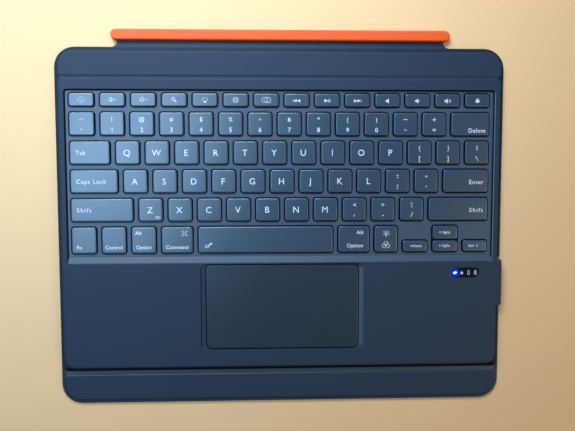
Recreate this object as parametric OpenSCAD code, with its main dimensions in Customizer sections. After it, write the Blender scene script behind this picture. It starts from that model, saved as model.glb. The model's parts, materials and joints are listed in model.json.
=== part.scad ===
// Detachable keyboard folio for a tablet, lying open and flat on a table.
// +X points right, +Y points to the hinge rail at the rear, +Z points up.
// The origin lies on the table, below the middle of the folio's outline.

/* [Keys] */
// Distance between the centres of two letter keys
key_pitch = 18.65; // [17.8:0.05:19.2]
// Distance between two rows of letter keys
row_pitch = 18.2; // [17:0.05:19]
// Width of the web bar between two key openings
web_bar = 2.1; // [1.6:0.1:2.6]
// Clear gap between a keycap and its opening in the web
key_gap = 0.7; // [0.4:0.05:0.9]
// Depth of the low caps in the function row
function_cap_d = 8.5; // [7:0.1:10]
// Depth of the tall caps in the bottom row
bottom_cap_d = 17; // [15:0.1:19]
// Depth of the lower arrow caps
arrow_cap_d = 7.4; // [7:0.1:8]
// Height of a keycap
cap_h = 2; // [1.8:0.05:2.2]
// Thickness of a keycap's roof
cap_roof = 0.9; // [0.7:0.05:1.1]
// Thickness of a keycap's skirt
cap_wall = 0.9; // [0.7:0.05:1.1]
// Corner radius of a keycap
cap_r = 1.7; // [1.2:0.1:2.2]
// Width of the bevel round a keycap's top
cap_bevel = 0.4; // [0.2:0.05:0.6]
// How far the keycaps lie below the palm rest
key_sink = 0.1; // [0:0.05:0.3]
// How far a key goes down when it is pressed
key_travel = 1.2; // [0.8:0.05:1.3]
// Sideways place of the key grid in the well
grid_shift = -0.38; // [-0.7:0.05:0.7]

/* [Body] */
// Height of the palm rest above the table
body_h = 6.2; // [6.1:0.05:7.2]
// Thickness of the top skin and of the bottom skin
skin_t = 0.7; // [0.6:0.05:0.8]
// Depth of the key well, from the palm rest to the web
well_depth = 1.6; // [1.3:0.05:1.8]
// Band of web left beside the key grid at each end
well_side = 1.5; // [0.75:0.05:2]
// Band of web left behind and before the key grid
well_end = 0.5; // [0.3:0.05:2]
// Corner radius of the key well
well_r = 2; // [1:0.1:3]
// Depth of the slope between the web and the palm rest
ramp_d = 4.6; // [3:0.1:7]
// Width of the rest beside the key well
side_rest = 3.8; // [3:0.1:8]
// Depth of the rest behind the key well
rear_rest = 7.6; // [6:0.1:14]
// Depth of the palm rest in front of the touchpad
palm_front = 11.9; // [8:0.1:20]
// Width of the flange of laminated skin at the left and right
side_flange = 3.0; // [2.4:0.1:6]
// Depth of the flange in front of the body, up to the front crease
front_flange = 2.7; // [2.6:0.1:5]
// Corner radius of the body at the front
body_front_r = 7; // [4:0.5:12]
// Corner radius of the body at the rear crease
body_rear_r = 2.6; // [2.2:0.1:5]

/* [Touchpad] */
// Width of the touchpad
pad_w = 98.6; // [80:0.2:120]
// Depth of the touchpad
pad_d = 54.8; // [45:0.2:62]
// Thickness of the touchpad's top plate
pad_t = 1.2; // [0.8:0.1:1.4]
// How far the touchpad lies below the palm rest
pad_sink = 0.9; // [0.8:0.05:1.2]
// Clear gap round the touchpad
pad_gap = 0.5; // [0.3:0.05:0.8]
// Width of the ledge at the left and right of the touchpad
pad_ledge = 2.9; // [1:0.1:4]
// Corner radius of the touchpad
pad_r = 3.5; // [2:0.1:6]
// Band of palm rest between the touchpad and the key well
pad_band = 0.6; // [0.6:0.1:4]
// How far the touchpad's front edge goes down for a click
pad_click = 0.4; // [0.2:0.05:0.5]

/* [Strip, flap and rail] */
// Depth of the rear strip, from the rear crease to the rear edge
strip_d = 19.5; // [16:0.1:26]
// Depth of the flange behind the rear strip's raised panel
rear_flange = 2.7; // [2:0.1:5]
// Corner radius of the folio
deck_r = 13; // [8:0.5:18]
// Depth of the groove over the rear crease
crease_depth = 1.2; // [1:0.05:1.4]
// Depth of the flexible flap between the rear edge and the rail
flap_d = 4.1; // [4:0.1:12]
// Width of the flap where it meets the rail
flap_w = 208.2; // [150:0.2:214]
// Thickness of the flap
flap_t = 1.2; // [0.8:0.1:1.4]
// Length of the docking rail
rail_w = 215.8; // [160:0.2:222]
// Depth of the docking rail
rail_d = 6.8; // [5.2:0.1:8]
// Height of the docking rail
rail_h = 4.0; // [3:0.1:4.2]

/* [Front closure flap] */
// Depth of the front flap, from its crease to the front edge
closure_d = 21.3; // [16:0.1:30]
// Height of the front flap's raised panel
closure_h = 2.3; // [2.2:0.05:3]
// Depth of the flange round the raised panel
closure_flange = 2.2; // [1.5:0.1:4]

/* [Ports and lamps] */
// Length of the port block in the right edge
port_w = 30.7; // [28:0.5:36]
// Distance from the key well's slope to the port block's rear end
port_back = 1.5; // [-2:0.1:4]
// Width of the charge socket's metal shell
socket_w = 8.94; // [8.5:0.02:9.2]
// Height of the charge socket's metal shell
socket_h = 3.16; // [3:0.02:3.2]
// Depth of the charge socket
socket_l = 7.3; // [6:0.1:8]
// Length of the power slider's button
slider_w = 3.4; // [2.6:0.1:4]
// How far the power slider moves
slider_travel = 2; // [1:0.1:3]
// How far the power slider's button stands out
slider_out = 0.5; // [0.4:0.05:1]
// Width of the status window
window_w = 19.0; // [16:0.2:22]
// Depth of the status window
window_d = 6.4; // [5:0.1:8]
// Distance between two status lamps
lamp_pitch = 4.5; // [4:0.1:5]
// Radius of a status lamp's light pipe
lamp_r = 1; // [0.8:0.05:1.2]

/* [Inner parts] */
// Thickness of the bottom tray's floor
floor_t = 0.7; // [0.5:0.05:0.8]
// Thickness of the housings' walls
wall_t = 1.2; // [1:0.1:1.4]
// Thickness of the light guide
guide_t = 0.3; // [0.2:0.05:0.4]
// Thickness of the steel key plate
plate_t = 0.3; // [0.2:0.05:0.4]
// Thickness of the contact membrane
membrane_t = 0.2; // [0.15:0.05:0.3]
// Thickness of the web between the keys
web_t = 1.2; // [0.8:0.1:1.3]
// Thickness of the circuit boards
board_t = 0.6; // [0.4:0.1:0.8]
// Thickness of a battery cell
cell_t = 2.6; // [2:0.1:2.8]
// Width of a battery cell
cell_w = 74; // [50:1:74]
// Depth of a battery cell
cell_d = 50; // [30:1:54]
// Length of a scissor link
link_l = 9; // [7:0.1:10]
// Width of a scissor link
link_w = 10.6; // [9.5:0.1:11.5]
// Width of a scissor link's bars
link_bar = 0.9; // [0.7:0.05:1]
// Thickness of a scissor link
link_t = 0.8; // [0.7:0.05:0.9]
// Radius of a scissor link's pivot pin
pin_r = 0.22; // [0.18:0.02:0.26]
// Head radius of a housing screw
screw_head_r = 1.5; // [1.2:0.1:1.8]
// Shank radius of a housing screw
screw_r = 0.8; // [0.6:0.05:0.9]
// Length of a strip or rail magnet
magnet_l = 24; // [12:1:26]

/* [Hidden] */
$fn = 48;

skin_color = "#3c4450";
shell_color = "#2b3038";
web_color = "#4a525e";
key_color = "#434b57";
steel_color = "#9aa0a6";
board_color = "#1f6b45";
rail_color = "#ff6f40";

slack = 0.1;        // clearance between two pieces that are assembled face to face
over = 1;           // how far a cut runs past the face that it opens
lap = 0.25;         // how far the solids of one plate reach into each other
round_steps = 3;    // facets in a soft edge

// Sizes that follow from the key pitch are rounded, so that neighbours meet exactly.
function to_step(x, step) = round(x / step) * step;

// Key grid, from its left boundary, in letter pitches.
row_units = 14.552;
number_row = 0;
upper_row = 1;
home_row = 2;
lower_row = 3;
first_units = [1.04, 1.54, 1.79, 2.29];
bottom_units = [0, 1.023, 2.031, 3.05, 4.305, 9.141, 10.406, 11.398, 12.444, 13.511];
function_keys = 14;
cell_extra = web_bar + 2 * key_gap;
grid_w = to_step(row_units * key_pitch, 0.1);

// Depths, from the front edge to the rear.
laminate_t = 2 * skin_t;
key_grid_d = function_cap_d + cell_extra + 4 * row_pitch + bottom_cap_d + cell_extra;
fold_half = laminate_t / 2 + slack;
deck_front = 0;
front_crease = closure_d;
body_front = front_crease + front_flange;
pad_front = body_front + palm_front;
pad_rear = pad_front + pad_d + 2 * pad_gap;
ramp_top = pad_rear + pad_band;
ramp_foot = ramp_top + ramp_d;
well_front = ramp_foot;
well_rear = well_front + key_grid_d + 2 * well_end;
rear_crease = well_rear + rear_rest;
deck_rear = rear_crease + strip_d;
rail_front = deck_rear + flap_d;
folio_d = rail_front + rail_d;
y_mid = folio_d / 2;
number_bar = well_rear - well_end - function_cap_d - cell_extra;

// Half widths.
well_half = grid_w / 2 + well_side;
body_half = well_half + side_rest;
deck_half = body_half + side_flange;

// Heights.
tray_z = skin_t;
floor_z = tray_z + floor_t;
guide_z = floor_z;
plate_z = guide_z + guide_t;
membrane_z = plate_z + plate_t;
dome_z = membrane_z + membrane_t;
web_top = body_h - well_depth;
web_z = web_top - web_t;
housing_top = body_h - skin_t;
cap_top = body_h - key_sink;
cap_z = cap_top - cap_h;
cap_ceiling = cap_top - cap_roof;
pad_top = body_h - pad_sink;
pad_z = pad_top - pad_t;
pad_board_z = pad_z - board_t;
crease_z = body_h - crease_depth;
board_top = floor_z + board_t;

// Edge profiles: [distance in from the edge, height above the table].
function soft_edge(z0, z1, lean, r) = concat(
    [[0, z0]],
    [for (i = [0 : round_steps])
        let (a = 90 * i / round_steps)
        [lean + r * (1 - cos(a)), z1 - r + r * sin(a)]]
);
edge_lean = 0.3;
edge_r = 1.1;

// ---------- general shapes ----------

// A rectangle in plan with rounded corners: rf at the front and rr at the rear.
module rounded_plan(x0, x1, y0, y1, rf, rr) {
    translate([x0 + rf, y0])
        square([x1 - x0 - 2 * rf, y1 - y0 - rr]);
    translate([x0, y0 + rf])
        square([x1 - x0, y1 - y0 - rf - rr]);
    translate([x0 + rr, y1 - rr - 0.01])
        square([x1 - x0 - 2 * rr, rr + 0.01]);
    for (x = [x0 + rf, x1 - rf])
        corner_disc(x, y0 + rf, rf, y0, y1);
    for (x = [x0 + rr, x1 - rr])
        corner_disc(x, y1 - rr, rr, y0, y1);
}

// A disc that rounds a corner, cut off where it would run past the rectangle.
module corner_disc(x, y, r, y0, y1) {
    if (y - r < y0 - 0.001 || y + r > y1 + 0.001)
        intersection() {
            translate([x, y])
                circle(r = r);
            translate([x - r, y0])
                square([2 * r, y1 - y0]);
        }
    else
        translate([x, y])
            circle(r = r);
}

module rounded_plate(x0, x1, y0, y1, rf, rr, z0, z1) {
    translate([0, 0, z0])
        linear_extrude(z1 - z0)
            rounded_plan(x0, x1, y0, y1, rf, rr);
}

// One corner of a plate whose edge follows a profile.
module profiled_corner(r, edge) {
    last = edge[len(edge) - 1];
    rotate_extrude(angle = 90)
        polygon(concat([[0, edge[0][1]]], [for (p = edge) [r - p[0], p[1]]], [[0, last[1]]]));
}

// A stretch of edge that runs along +X from the origin, with the plate on its +Y side.
module profiled_run(length, reach, edge) {
    last = edge[len(edge) - 1];
    rotate([90, 0, 90])
        linear_extrude(length)
            polygon(concat(edge, [[reach, last[1]], [reach, edge[0][1]]]));
}

// A plate with rounded corners whose four edges all follow one profile.
module profiled_plate(x0, x1, y0, y1, rf, rr, edge) {
    w = x1 - x0;
    d = y1 - y0;
    translate([x0 + rf, y0, 0])
        profiled_run(w - 2 * rf, rf + lap, edge);
    translate([x1 - rr, y1, 0])
        rotate([0, 0, 180])
            profiled_run(w - 2 * rr, rr + lap, edge);
    translate([x1, y0 + rf, 0])
        rotate([0, 0, 90])
            profiled_run(d - rf - rr, w / 2 + lap, edge);
    translate([x0, y1 - rr, 0])
        rotate([0, 0, -90])
            profiled_run(d - rf - rr, w / 2, edge);
    translate([x0 + rf, y0 + rf, 0])
        rotate([0, 0, 180])
            profiled_corner(rf, edge);
    translate([x1 - rf, y0 + rf, 0])
        rotate([0, 0, -90])
            profiled_corner(rf, edge);
    translate([x1 - rr, y1 - rr, 0])
        profiled_corner(rr, edge);
    translate([x0 + rr, y1 - rr, 0])
        rotate([0, 0, 90])
            profiled_corner(rr, edge);
}

// Moves a piece from depths counted from the front edge to the part's own frame.
module placed() {
    translate([0, -y_mid, 0])
        children();
}

// ---------- key grid ----------

row_counts = [14, 14, 13, 12];
bottom_keys = len(bottom_units);
space_place = 4;
arrow_left = bottom_keys - 3;
arrow_middle = bottom_keys - 2;
arrow_right = bottom_keys - 1;

function grid_x(u) = grid_shift - grid_w / 2 + to_step(u * key_pitch, 0.01);
function key_start(row, i) = i == 0 ? 0 : first_units[row] + i - 1;
function key_end(row, i) = i == row_counts[row] - 1 ? row_units : key_start(row, i + 1);
function bottom_end(i) = i == bottom_keys - 1 ? row_units : bottom_units[i + 1];

// A cap is [left, right, front, rear].
function cap_in(u0, u1, front, rear) = [
    grid_x(u0) + cell_extra / 2, grid_x(u1) - cell_extra / 2,
    front + cell_extra / 2, rear - cell_extra / 2
];
function main_cap(row, i) = cap_in(
    key_start(row, i), key_end(row, i),
    number_bar - (row + 1) * row_pitch, number_bar - row * row_pitch
);
function last_cap(row) = main_cap(row, row_counts[row] - 1);
bottom_bar = number_bar - 4 * row_pitch;
function bottom_cap(i) = cap_in(
    bottom_units[i], bottom_end(i), bottom_bar - bottom_cap_d - cell_extra, bottom_bar
);
function function_cap(i) = cap_in(
    i * row_units / function_keys, (i + 1) * row_units / function_keys,
    number_bar, number_bar + function_cap_d + cell_extra
);
function low_part(c) = [c[0], c[1], c[2], c[2] + arrow_cap_d];
function high_part(c) = [c[0], c[1], c[2] + arrow_cap_d + key_gap, c[3]];
function grown(c, g) = [c[0] - g, c[1] + g, c[2] - g, c[3] + g];

function column_caps(k) = [for (row = [0 : 3]) main_cap(row, k)];
left_arrow_cap = low_part(bottom_cap(arrow_left));
right_arrow_cap = low_part(bottom_cap(arrow_right));
up_arrow_cap = high_part(bottom_cap(arrow_middle));
down_arrow_cap = low_part(bottom_cap(arrow_middle));

left_modifier_caps = [for (i = [0 : space_place - 1]) bottom_cap(i)];
right_modifier_caps = [for (i = [space_place + 1 : arrow_left - 1]) bottom_cap(i)];
row_caps = [for (row = [0 : 3]) for (i = [0 : row_counts[row] - 1]) main_cap(row, i)];
wide_caps = [for (i = [0 : arrow_left - 1]) bottom_cap(i)];
top_caps = [for (i = [0 : function_keys - 1]) function_cap(i)];
all_caps = concat(
    row_caps, wide_caps, top_caps,
    [left_arrow_cap, right_arrow_cap, up_arrow_cap, down_arrow_cap]
);
openings = concat(
    row_caps, wide_caps, top_caps,
    [left_arrow_cap, right_arrow_cap, bottom_cap(arrow_middle)]
);

// ---------- keycaps ----------

cap_draft = 0.15;
cap_edge = [
    [0, cap_z], [cap_draft, cap_top - cap_bevel], [cap_draft + cap_bevel, cap_top]
];

module key_cap(c) {
    difference() {
        profiled_plate(c[0], c[1], c[2], c[3], cap_r, cap_r, cap_edge);
        translate([c[0] + cap_wall, c[2] + cap_wall, cap_z - over])
            cube([
                c[1] - c[0] - 2 * cap_wall, c[3] - c[2] - 2 * cap_wall,
                cap_ceiling - cap_z + over
            ]);
    }
}

module keys(caps) {
    color(key_color)
        placed()
            for (c = caps)
                key_cap(c);
}

// ---------- what lies under the keys ----------

web_half = body_half - skin_t - wall_t - edge_lean - 2 * slack;
web_margin_front = 0.3;  // from the top of the slope to the web's front edge
web_margin_rear = 1.5;
web_front = ramp_top + web_margin_front;
web_rear = well_rear + web_margin_rear;
rib_t = wall_t;
stack_half = web_half - rib_t - slack;
stack_front = web_front + rib_t + slack;
stack_rear = web_rear - rib_t - slack;
leg_r = 0.7;
leg_columns = 5;

module key_web() {
    color(web_color)
        placed() {
            translate([0, 0, web_z])
                linear_extrude(web_t)
                    difference() {
                        translate([-web_half, web_front])
                            square([2 * web_half, web_rear - web_front]);
                        for (c = openings) {
                            o = grown(c, key_gap);
                            rounded_plan(o[0], o[1], o[2], o[3], cap_r + key_gap, cap_r + key_gap);
                        }
                    }
            for (row = [0 : 4], i = [0 : leg_columns - 1])
                translate([grid_x(1.5 + 2.75 * i), number_bar - row * row_pitch, dome_z])
                    cylinder(r = leg_r, h = web_z - dome_z + slack);
        }
}

module stack_sheet(z, t) {
    translate([-stack_half, stack_front, z])
        cube([2 * stack_half, stack_rear - stack_front, t]);
}

module key_plate() {
    color(steel_color)
        placed()
            stack_sheet(plate_z, plate_t);
}

module contact_membrane() {
    color("#c8cdb8")
        placed()
            stack_sheet(membrane_z, membrane_t);
}

module light_guide() {
    color("white")
        placed()
            stack_sheet(guide_z, guide_t);
}

function cap_middle(c) = [(c[0] + c[1]) / 2, (c[2] + c[3]) / 2];
function cap_width(c) = c[1] - c[0];
function cap_depth(c) = c[3] - c[2];
function link_length(c) = min(link_l, cap_depth(c) - 2 * cap_wall - 4 * slack);
link_room = cap_ceiling - dome_z - 2 * slack;
long_cap = 60;
function is_long(c) = cap_width(c) > long_cap;

// One rubber dome under the middle of each cap.
module rubber_dome(c) {
    m = cap_middle(c);
    foot = is_long(c) ? link_l / 3 : link_length(c) / 2 - link_bar - 2 * slack;
    neck = foot / 2;
    skirt = 0.35;
    h = cap_ceiling - dome_z - slack;
    translate([m[0], m[1], dome_z])
        rotate_extrude()
            polygon([
                [0, h], [neck, h], [neck, h * 0.7], [foot - skirt, skirt], [foot, skirt], [foot, 0],
                [foot - 2 * skirt, 0], [neck - skirt, h * 0.6], [0, h * 0.6]
            ]);
}

module dome_sheet() {
    color("#d9d9d4")
        placed()
            for (c = all_caps)
                rubber_dome(c);
}

module link_frame(w, l) {
    difference() {
        cube([w, l, link_t], center = true);
        cube([w - 2 * link_bar, l - 2 * link_bar, link_t + over], center = true);
    }
}

// Two frames that cross and share a pin, one inside the other.
module scissor_pair(x, y, l) {
    lift = asin((link_room - link_t) / l);
    inner_w = link_w - 2 * link_bar - 5 * slack;
    pin_l = link_w - 4 * slack;
    translate([x, y, (cap_ceiling + dome_z) / 2]) {
        rotate([lift, 0, 0])
            difference() {
                link_frame(link_w, l);
                rotate([0, 90, 0])
                    cylinder(r = pin_r + 0.05, h = link_w + over, center = true);
            }
        rotate([-lift, 0, 0]) {
            link_frame(inner_w, l);
            for (side = [-1, 1])
                translate([side * (pin_l + inner_w - link_bar) / 4, 0, 0])
                    rotate([0, 90, 0])
                        cylinder(r = pin_r, h = (pin_l - inner_w + link_bar) / 2, center = true);
        }
    }
}

module scissor_links() {
    color("ivory")
        placed()
            for (c = all_caps) {
                m = cap_middle(c);
                offsets = is_long(c) ? [-cap_width(c) / 4, cap_width(c) / 4] : [0];
                for (dx = offsets)
                    scissor_pair(m[0] + dx, m[1], link_length(c));
            }
}

// ---------- body: skins and housings ----------

fit = 0.05;             // clearance between a housing and the skin that wraps it
crease_gap = 0.15;      // half the cut between two panels at a crease
body_rear = rear_crease - crease_gap;
strip_front = rear_crease + crease_gap;
front_cut = front_crease + slack;

port_rear = ramp_top + port_back;
port_front = port_rear - port_w;
port_face = body_half + 2.4;
port_root = body_half - socket_l;
port_bevel = 1.4;
notch = 0.3;            // clear gap between the port block and the flange
notch_flare = 1.2;      // bevel on the flange's corners beside the port block

module body_block(inset) {
    profiled_plate(
        -body_half + inset, body_half - inset, body_front + inset, body_rear - inset,
        body_front_r - inset, body_rear_r - inset,
        soft_edge(skin_t, body_h - inset, edge_lean, edge_r - inset)
    );
}

// Plan of the port block, from x_in out to its face.
module port_plan(x_in) {
    polygon([
        [x_in, port_front], [port_face - port_bevel, port_front], [port_face, port_front + port_bevel],
        [port_face, port_rear - port_bevel], [port_face - port_bevel, port_rear], [x_in, port_rear]
    ]);
}

// Plan of the notch that the port block cuts into the flange.
module notch_plan() {
    front = port_front - notch;
    rear = port_rear + notch;
    polygon([
        [body_half - fit, front], [deck_half - notch_flare, front],
        [deck_half + over, front - notch_flare - over], [deck_half + over, rear + notch_flare + over],
        [deck_half - notch_flare, rear], [body_half - fit, rear]
    ]);
}

// The key well's void. Grown, it leaves a lip of skin that lines the well.
module well_void(grow) {
    slope = ramp_d / well_depth;
    shift = grow * sqrt(1 + slope * slope);
    top = body_h + over;
    intersection() {
        rounded_plate(
            -well_half - grow, well_half + grow, ramp_top - slope * over - shift, well_rear + grow,
            well_r / 2, well_r + grow, web_top, top
        );
        translate([-body_half, 0, 0])
            rotate([90, 0, 90])
                linear_extrude(2 * body_half)
                    polygon([
                        [ramp_foot - shift, web_top], [body_rear, web_top], [body_rear, top],
                        [ramp_foot - shift - slope * (top - web_top), top]
                    ]);
    }
}

pad_hole_half = pad_w / 2 + pad_gap;
pad_land = 0.3;       // thickness of skin left on the touchpad's ledge
pad_lean = 0.4;       // how far the ledge's outer wall leans

module pad_hole(z0, z1) {
    rounded_plate(
        -pad_hole_half, pad_hole_half, pad_front, pad_rear, pad_r + pad_gap, pad_r + pad_gap, z0, z1
    );
}

// The touchpad's recess: a ledge at the left and right, steep at the front and rear.
module pad_void() {
    wide = pad_hole_half + pad_ledge;
    low = housing_top + pad_land;
    pad_hole(floor_z, low + slack);
    intersection() {
        rounded_plate(-wide, wide, pad_front, pad_rear, pad_r, pad_r, low, body_h + over);
        translate([0, pad_rear + over, 0])
            rotate([90, 0, 0])
                linear_extrude(pad_rear - pad_front + 2 * over)
                    polygon([
                        [-wide + pad_lean, low], [wide - pad_lean, low], [wide, body_h],
                        [wide, body_h + over], [-wide, body_h + over], [-wide, body_h]
                    ]);
    }
}

window_in = 15.7;       // from the key grid's right end to the window's middle
window_down = 7.1;      // from the key well's slope to the window's middle
window_x = grid_x(row_units) - window_in;
window_y = ramp_top - window_down;
lamp_count = 4;

module pill(w, d, z0, z1) {
    r = d / 2 - fit;
    rounded_plate(window_x - w / 2, window_x + w / 2, window_y - d / 2, window_y + d / 2, r, r, z0, z1);
}

module flange_plan() {
    difference() {
        translate([-deck_half, front_cut])
            square([2 * deck_half, body_rear - front_cut]);
        notch_plan();
    }
}

module upper_skin() {
    color(skin_color)
        placed()
            difference() {
                union() {
                    translate([0, 0, skin_t])
                        linear_extrude(skin_t)
                            flange_plan();
                    body_block(0);
                    translate([0, 0, housing_top])
                        linear_extrude(skin_t)
                            port_plan(port_root);
                }
                difference() {
                    body_block(skin_t);
                    well_void(skin_t);
                }
                translate([body_half - skin_t - over, port_front, 0])
                    cube([deck_half, port_w, housing_top]);
                well_void(0);
                pad_void();
                pill(window_w + 2 * slack, window_d + 2 * slack, web_top, body_h + over);
            }
}

module lower_skin() {
    color(skin_color)
        placed()
            linear_extrude(skin_t) {
                flange_plan();
                port_plan(port_root);
            }
}

inner_half = body_half - skin_t - fit - wall_t - edge_lean;
inner_front = body_front + skin_t + fit + wall_t + edge_lean;
inner_rear = body_rear - skin_t - fit - wall_t - edge_lean;
boss_r = 1.8;
boss_gap = 3.2;
boss_beside_pad = 7;
rear_bosses = 5;
boss_half = inner_half - boss_gap;
boss_near = pad_hole_half + boss_beside_pad;
boss_places = concat(
    [for (x = [-boss_half, -boss_near, boss_near, boss_half]) [x, inner_front + boss_gap]],
    [for (x = [-boss_half, -boss_near, boss_near]) [x, web_front - boss_gap]],
    [for (i = [0 : rear_bosses - 1])
        [(2 * i / (rear_bosses - 1) - 1) * (boss_half - 4 * boss_gap), (web_rear + inner_rear) / 2]]
);

module at_bosses() {
    for (p = boss_places)
        translate([p[0], p[1], 0])
            children();
}

module top_housing() {
    color(shell_color)
        placed()
            difference() {
                union() {
                    difference() {
                        body_block(skin_t + fit);
                        rounded_plate(
                            -inner_half, inner_half, inner_front, inner_rear,
                            body_front_r - skin_t - wall_t, body_rear_r / 4, 0, web_top
                        );
                        well_void(skin_t + fit);
                        pad_hole(0, body_h);
                        pill(window_w - 3, window_d - 3, web_top, housing_top - wall_t / 2);
                    }
                    at_bosses()
                        translate([0, 0, floor_z])
                            cylinder(r = boss_r, h = web_top - floor_z + slack);
                }
                translate([-deck_half, 0, 0])
                    cube([2 * deck_half, folio_d, floor_z]);
                translate([port_root, port_front + port_bevel, floor_z - over])
                    cube([deck_half, port_w - 2 * port_bevel, body_h]);
                for (i = [0 : lamp_count - 1])
                    translate([lamp_x(i), window_y, 0])
                        cylinder(r = lamp_r + slack, h = body_h);
                at_bosses()
                    cylinder(r = screw_r + fit / 2, h = web_top);
            }
}

post_x = 30;
post_w = 8;
pivot_y = pad_rear - pad_gap - 3;
tail_x = window_x - 10;
tail_w = 12;

module bottom_tray() {
    color(shell_color)
        placed()
            difference() {
                union() {
                    rounded_plate(
                        -body_half + skin_t + slack, body_half - skin_t - slack,
                        body_front + skin_t + slack, body_rear - skin_t - slack,
                        body_front_r - skin_t, body_rear_r - skin_t, tray_z, floor_z
                    );
                    // Rib that carries the web and frames the sheets below the keys.
                    difference() {
                        translate([-web_half, web_front, floor_z - slack])
                            cube([2 * web_half, web_rear - web_front, web_z - floor_z + slack]);
                        translate([-web_half + rib_t, web_front + rib_t, 0])
                            cube([2 * (web_half - rib_t), web_rear - web_front - 2 * rib_t, body_h]);
                        translate([tail_x - slack, web_front - over, floor_z])
                            cube([tail_w + 2 * slack, rib_t + 2 * over, body_h]);
                    }
                    for (side = [-1, 1])
                        translate([side * post_x - post_w / 2, pivot_y - wall_t, floor_z - slack])
                            cube([post_w, 2 * wall_t, pad_board_z - floor_z]);
                }
                at_bosses() {
                    cylinder(r = screw_r + slack, h = body_h);
                    cylinder(r = screw_head_r + slack, h = tray_z + floor_t / 2 + slack);
                }
            }
}

module housing_screws() {
    color(steel_color)
        placed()
            at_bosses() {
                translate([0, 0, tray_z])
                    cylinder(r = screw_head_r, h = floor_t / 2);
                translate([0, 0, tray_z])
                    cylinder(r = screw_r, h = web_top - tray_z - slack);
            }
}

// ---------- touchpad ----------

module touchpad_plate() {
    color(key_color)
        placed()
            rounded_plate(
                -pad_w / 2, pad_w / 2, pad_front + pad_gap, pad_rear - pad_gap, pad_r, pad_r,
                pad_z, pad_top
            );
}

pad_board_half = pad_w / 2 - 8;
pad_board_front = pad_front + pad_gap + 2;
pad_board_rear = pad_rear - pad_gap - 1;

module touchpad_board() {
    color(board_color)
        placed()
            translate([-pad_board_half, pad_board_front, pad_board_z])
                cube([2 * pad_board_half, pad_board_rear - pad_board_front, board_t]);
}

switch_w = 5.2;

module touchpad_switch() {
    y = pad_board_front + switch_w;
    top = pad_board_z - pad_click - slack;
    color("#20242a")
        placed() {
            translate([-switch_w / 2, y - switch_w / 2, floor_z])
                cube([switch_w, switch_w, top - floor_z - 0.3]);
            translate([0, y, floor_z])
                cylinder(r = switch_w / 4, h = top - floor_z);
        }
}

// ---------- power, charging and lamps ----------

board_front = port_front - 2;
board_rear = web_front - wall_t;
board_reach = 18;       // from the status window's middle to the board's left edge
board_left = window_x - board_reach;
board_right = inner_half - slack;
socket_share = 0.3;     // where the socket and the slider stand along the port block
slider_share = 0.74;
socket_y = port_front + port_w * socket_share;
switch_y = port_front + port_w * slider_share;
socket_face = port_face - 1;
socket_mid_z = board_top + socket_h / 2;

function lamp_x(i) = window_x + (i - (lamp_count - 1) / 2) * lamp_pitch;

chip_h = 0.9;
connector_h = 1.6;
connector_in = 2;       // from the board's left edge to its connector
// Chips on the main board: [in from its left edge, in from its front edge, width, depth].
chips = [[4, 5, 7, 7], [16, 4, 4, 5]];

module main_board() {
    color(board_color)
        placed() {
            translate([board_left, board_front, floor_z])
                cube([board_right - board_left, board_rear - board_front, board_t]);
            for (c = chips)
                translate([board_left + c[0], board_front + c[1], floor_z])
                    cube([c[2], c[3], board_t + chip_h]);
            translate([board_left + connector_in, board_front + board_reach, floor_z])
                cube([board_reach / 3, board_reach / 6, board_t + connector_h]);
        }
}

module stadium(w, h, l) {
    r = h / 2;
    rotate([90, 0, 90])
        linear_extrude(l) {
            square([w - h, h], center = true);
            for (side = [-1, 1])
                translate([side * (w / 2 - r), 0])
                    circle(r = r);
        }
}

module usb_socket() {
    shell_t = 0.3;
    tongue_t = 0.7;
    tongue_w = 6.7;
    back_t = 1.2;
    color(steel_color)
        placed()
            translate([socket_face - socket_l, socket_y, socket_mid_z]) {
                difference() {
                    stadium(socket_w, socket_h, socket_l);
                    translate([back_t, 0, 0])
                        stadium(socket_w - 2 * shell_t, socket_h - 2 * shell_t, socket_l);
                }
                translate([back_t - slack, -tongue_w / 2, -tongue_t / 2])
                    cube([socket_l - back_t - 0.6, tongue_w, tongue_t]);
            }
}

slider_h = 1.5;
slider_z = board_top + 1.6;
slider_gap = 0.25;
slider_root = inner_half - 1.5;

module slider_slot(x0, x1) {
    y = switch_y - slider_w / 2 - slider_travel - slider_gap;
    translate([x0, y, slider_z - slider_h / 2 - slider_gap])
        cube([x1 - x0, slider_w + slider_travel + 2 * slider_gap, slider_h + 2 * slider_gap]);
}

module port_bezel() {
    color(shell_color)
        placed()
            difference() {
                intersection() {
                    translate([0, 0, tray_z])
                        linear_extrude(housing_top - tray_z)
                            port_plan(port_root);
                    translate([body_half - skin_t + fit, 0, 0])
                        cube([deck_half, folio_d, body_h]);
                }
                translate([body_half - over, socket_y, socket_mid_z])
                    stadium(socket_w + 0.5, socket_h + 0.5, 2 * over + 2);
                slider_slot(body_half - over, port_face + over);
            }
}

module power_switch() {
    w = slider_w + slider_travel + 2 * slider_gap + 1.6;
    x0 = slider_root - 2.4;
    color("#20242a")
        placed()
            difference() {
                translate([x0, switch_y - slider_w / 2 - slider_travel - slider_gap - 0.8, board_top])
                    cube([inner_half - x0 - slack, w, 2 * (slider_z - board_top)]);
                slider_slot(slider_root - slider_gap, inner_half + over);
            }
}

module power_slider() {
    groove = 0.3;
    groove_pitch = 0.9;
    color("#14171b")
        placed()
            difference() {
                translate([slider_root, switch_y - slider_w / 2, slider_z - slider_h / 2])
                    cube([port_face + slider_out - slider_root, slider_w, slider_h]);
                for (i = [-1 : 1])
                    translate([port_face + slider_out - groove, switch_y + groove_pitch * i - groove / 2, 0])
                        cube([over, groove, body_h]);
            }
}

module status_window() {
    color("#101317")
        placed()
            pill(window_w, window_d, housing_top, body_h - slack / 2);
}

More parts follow.
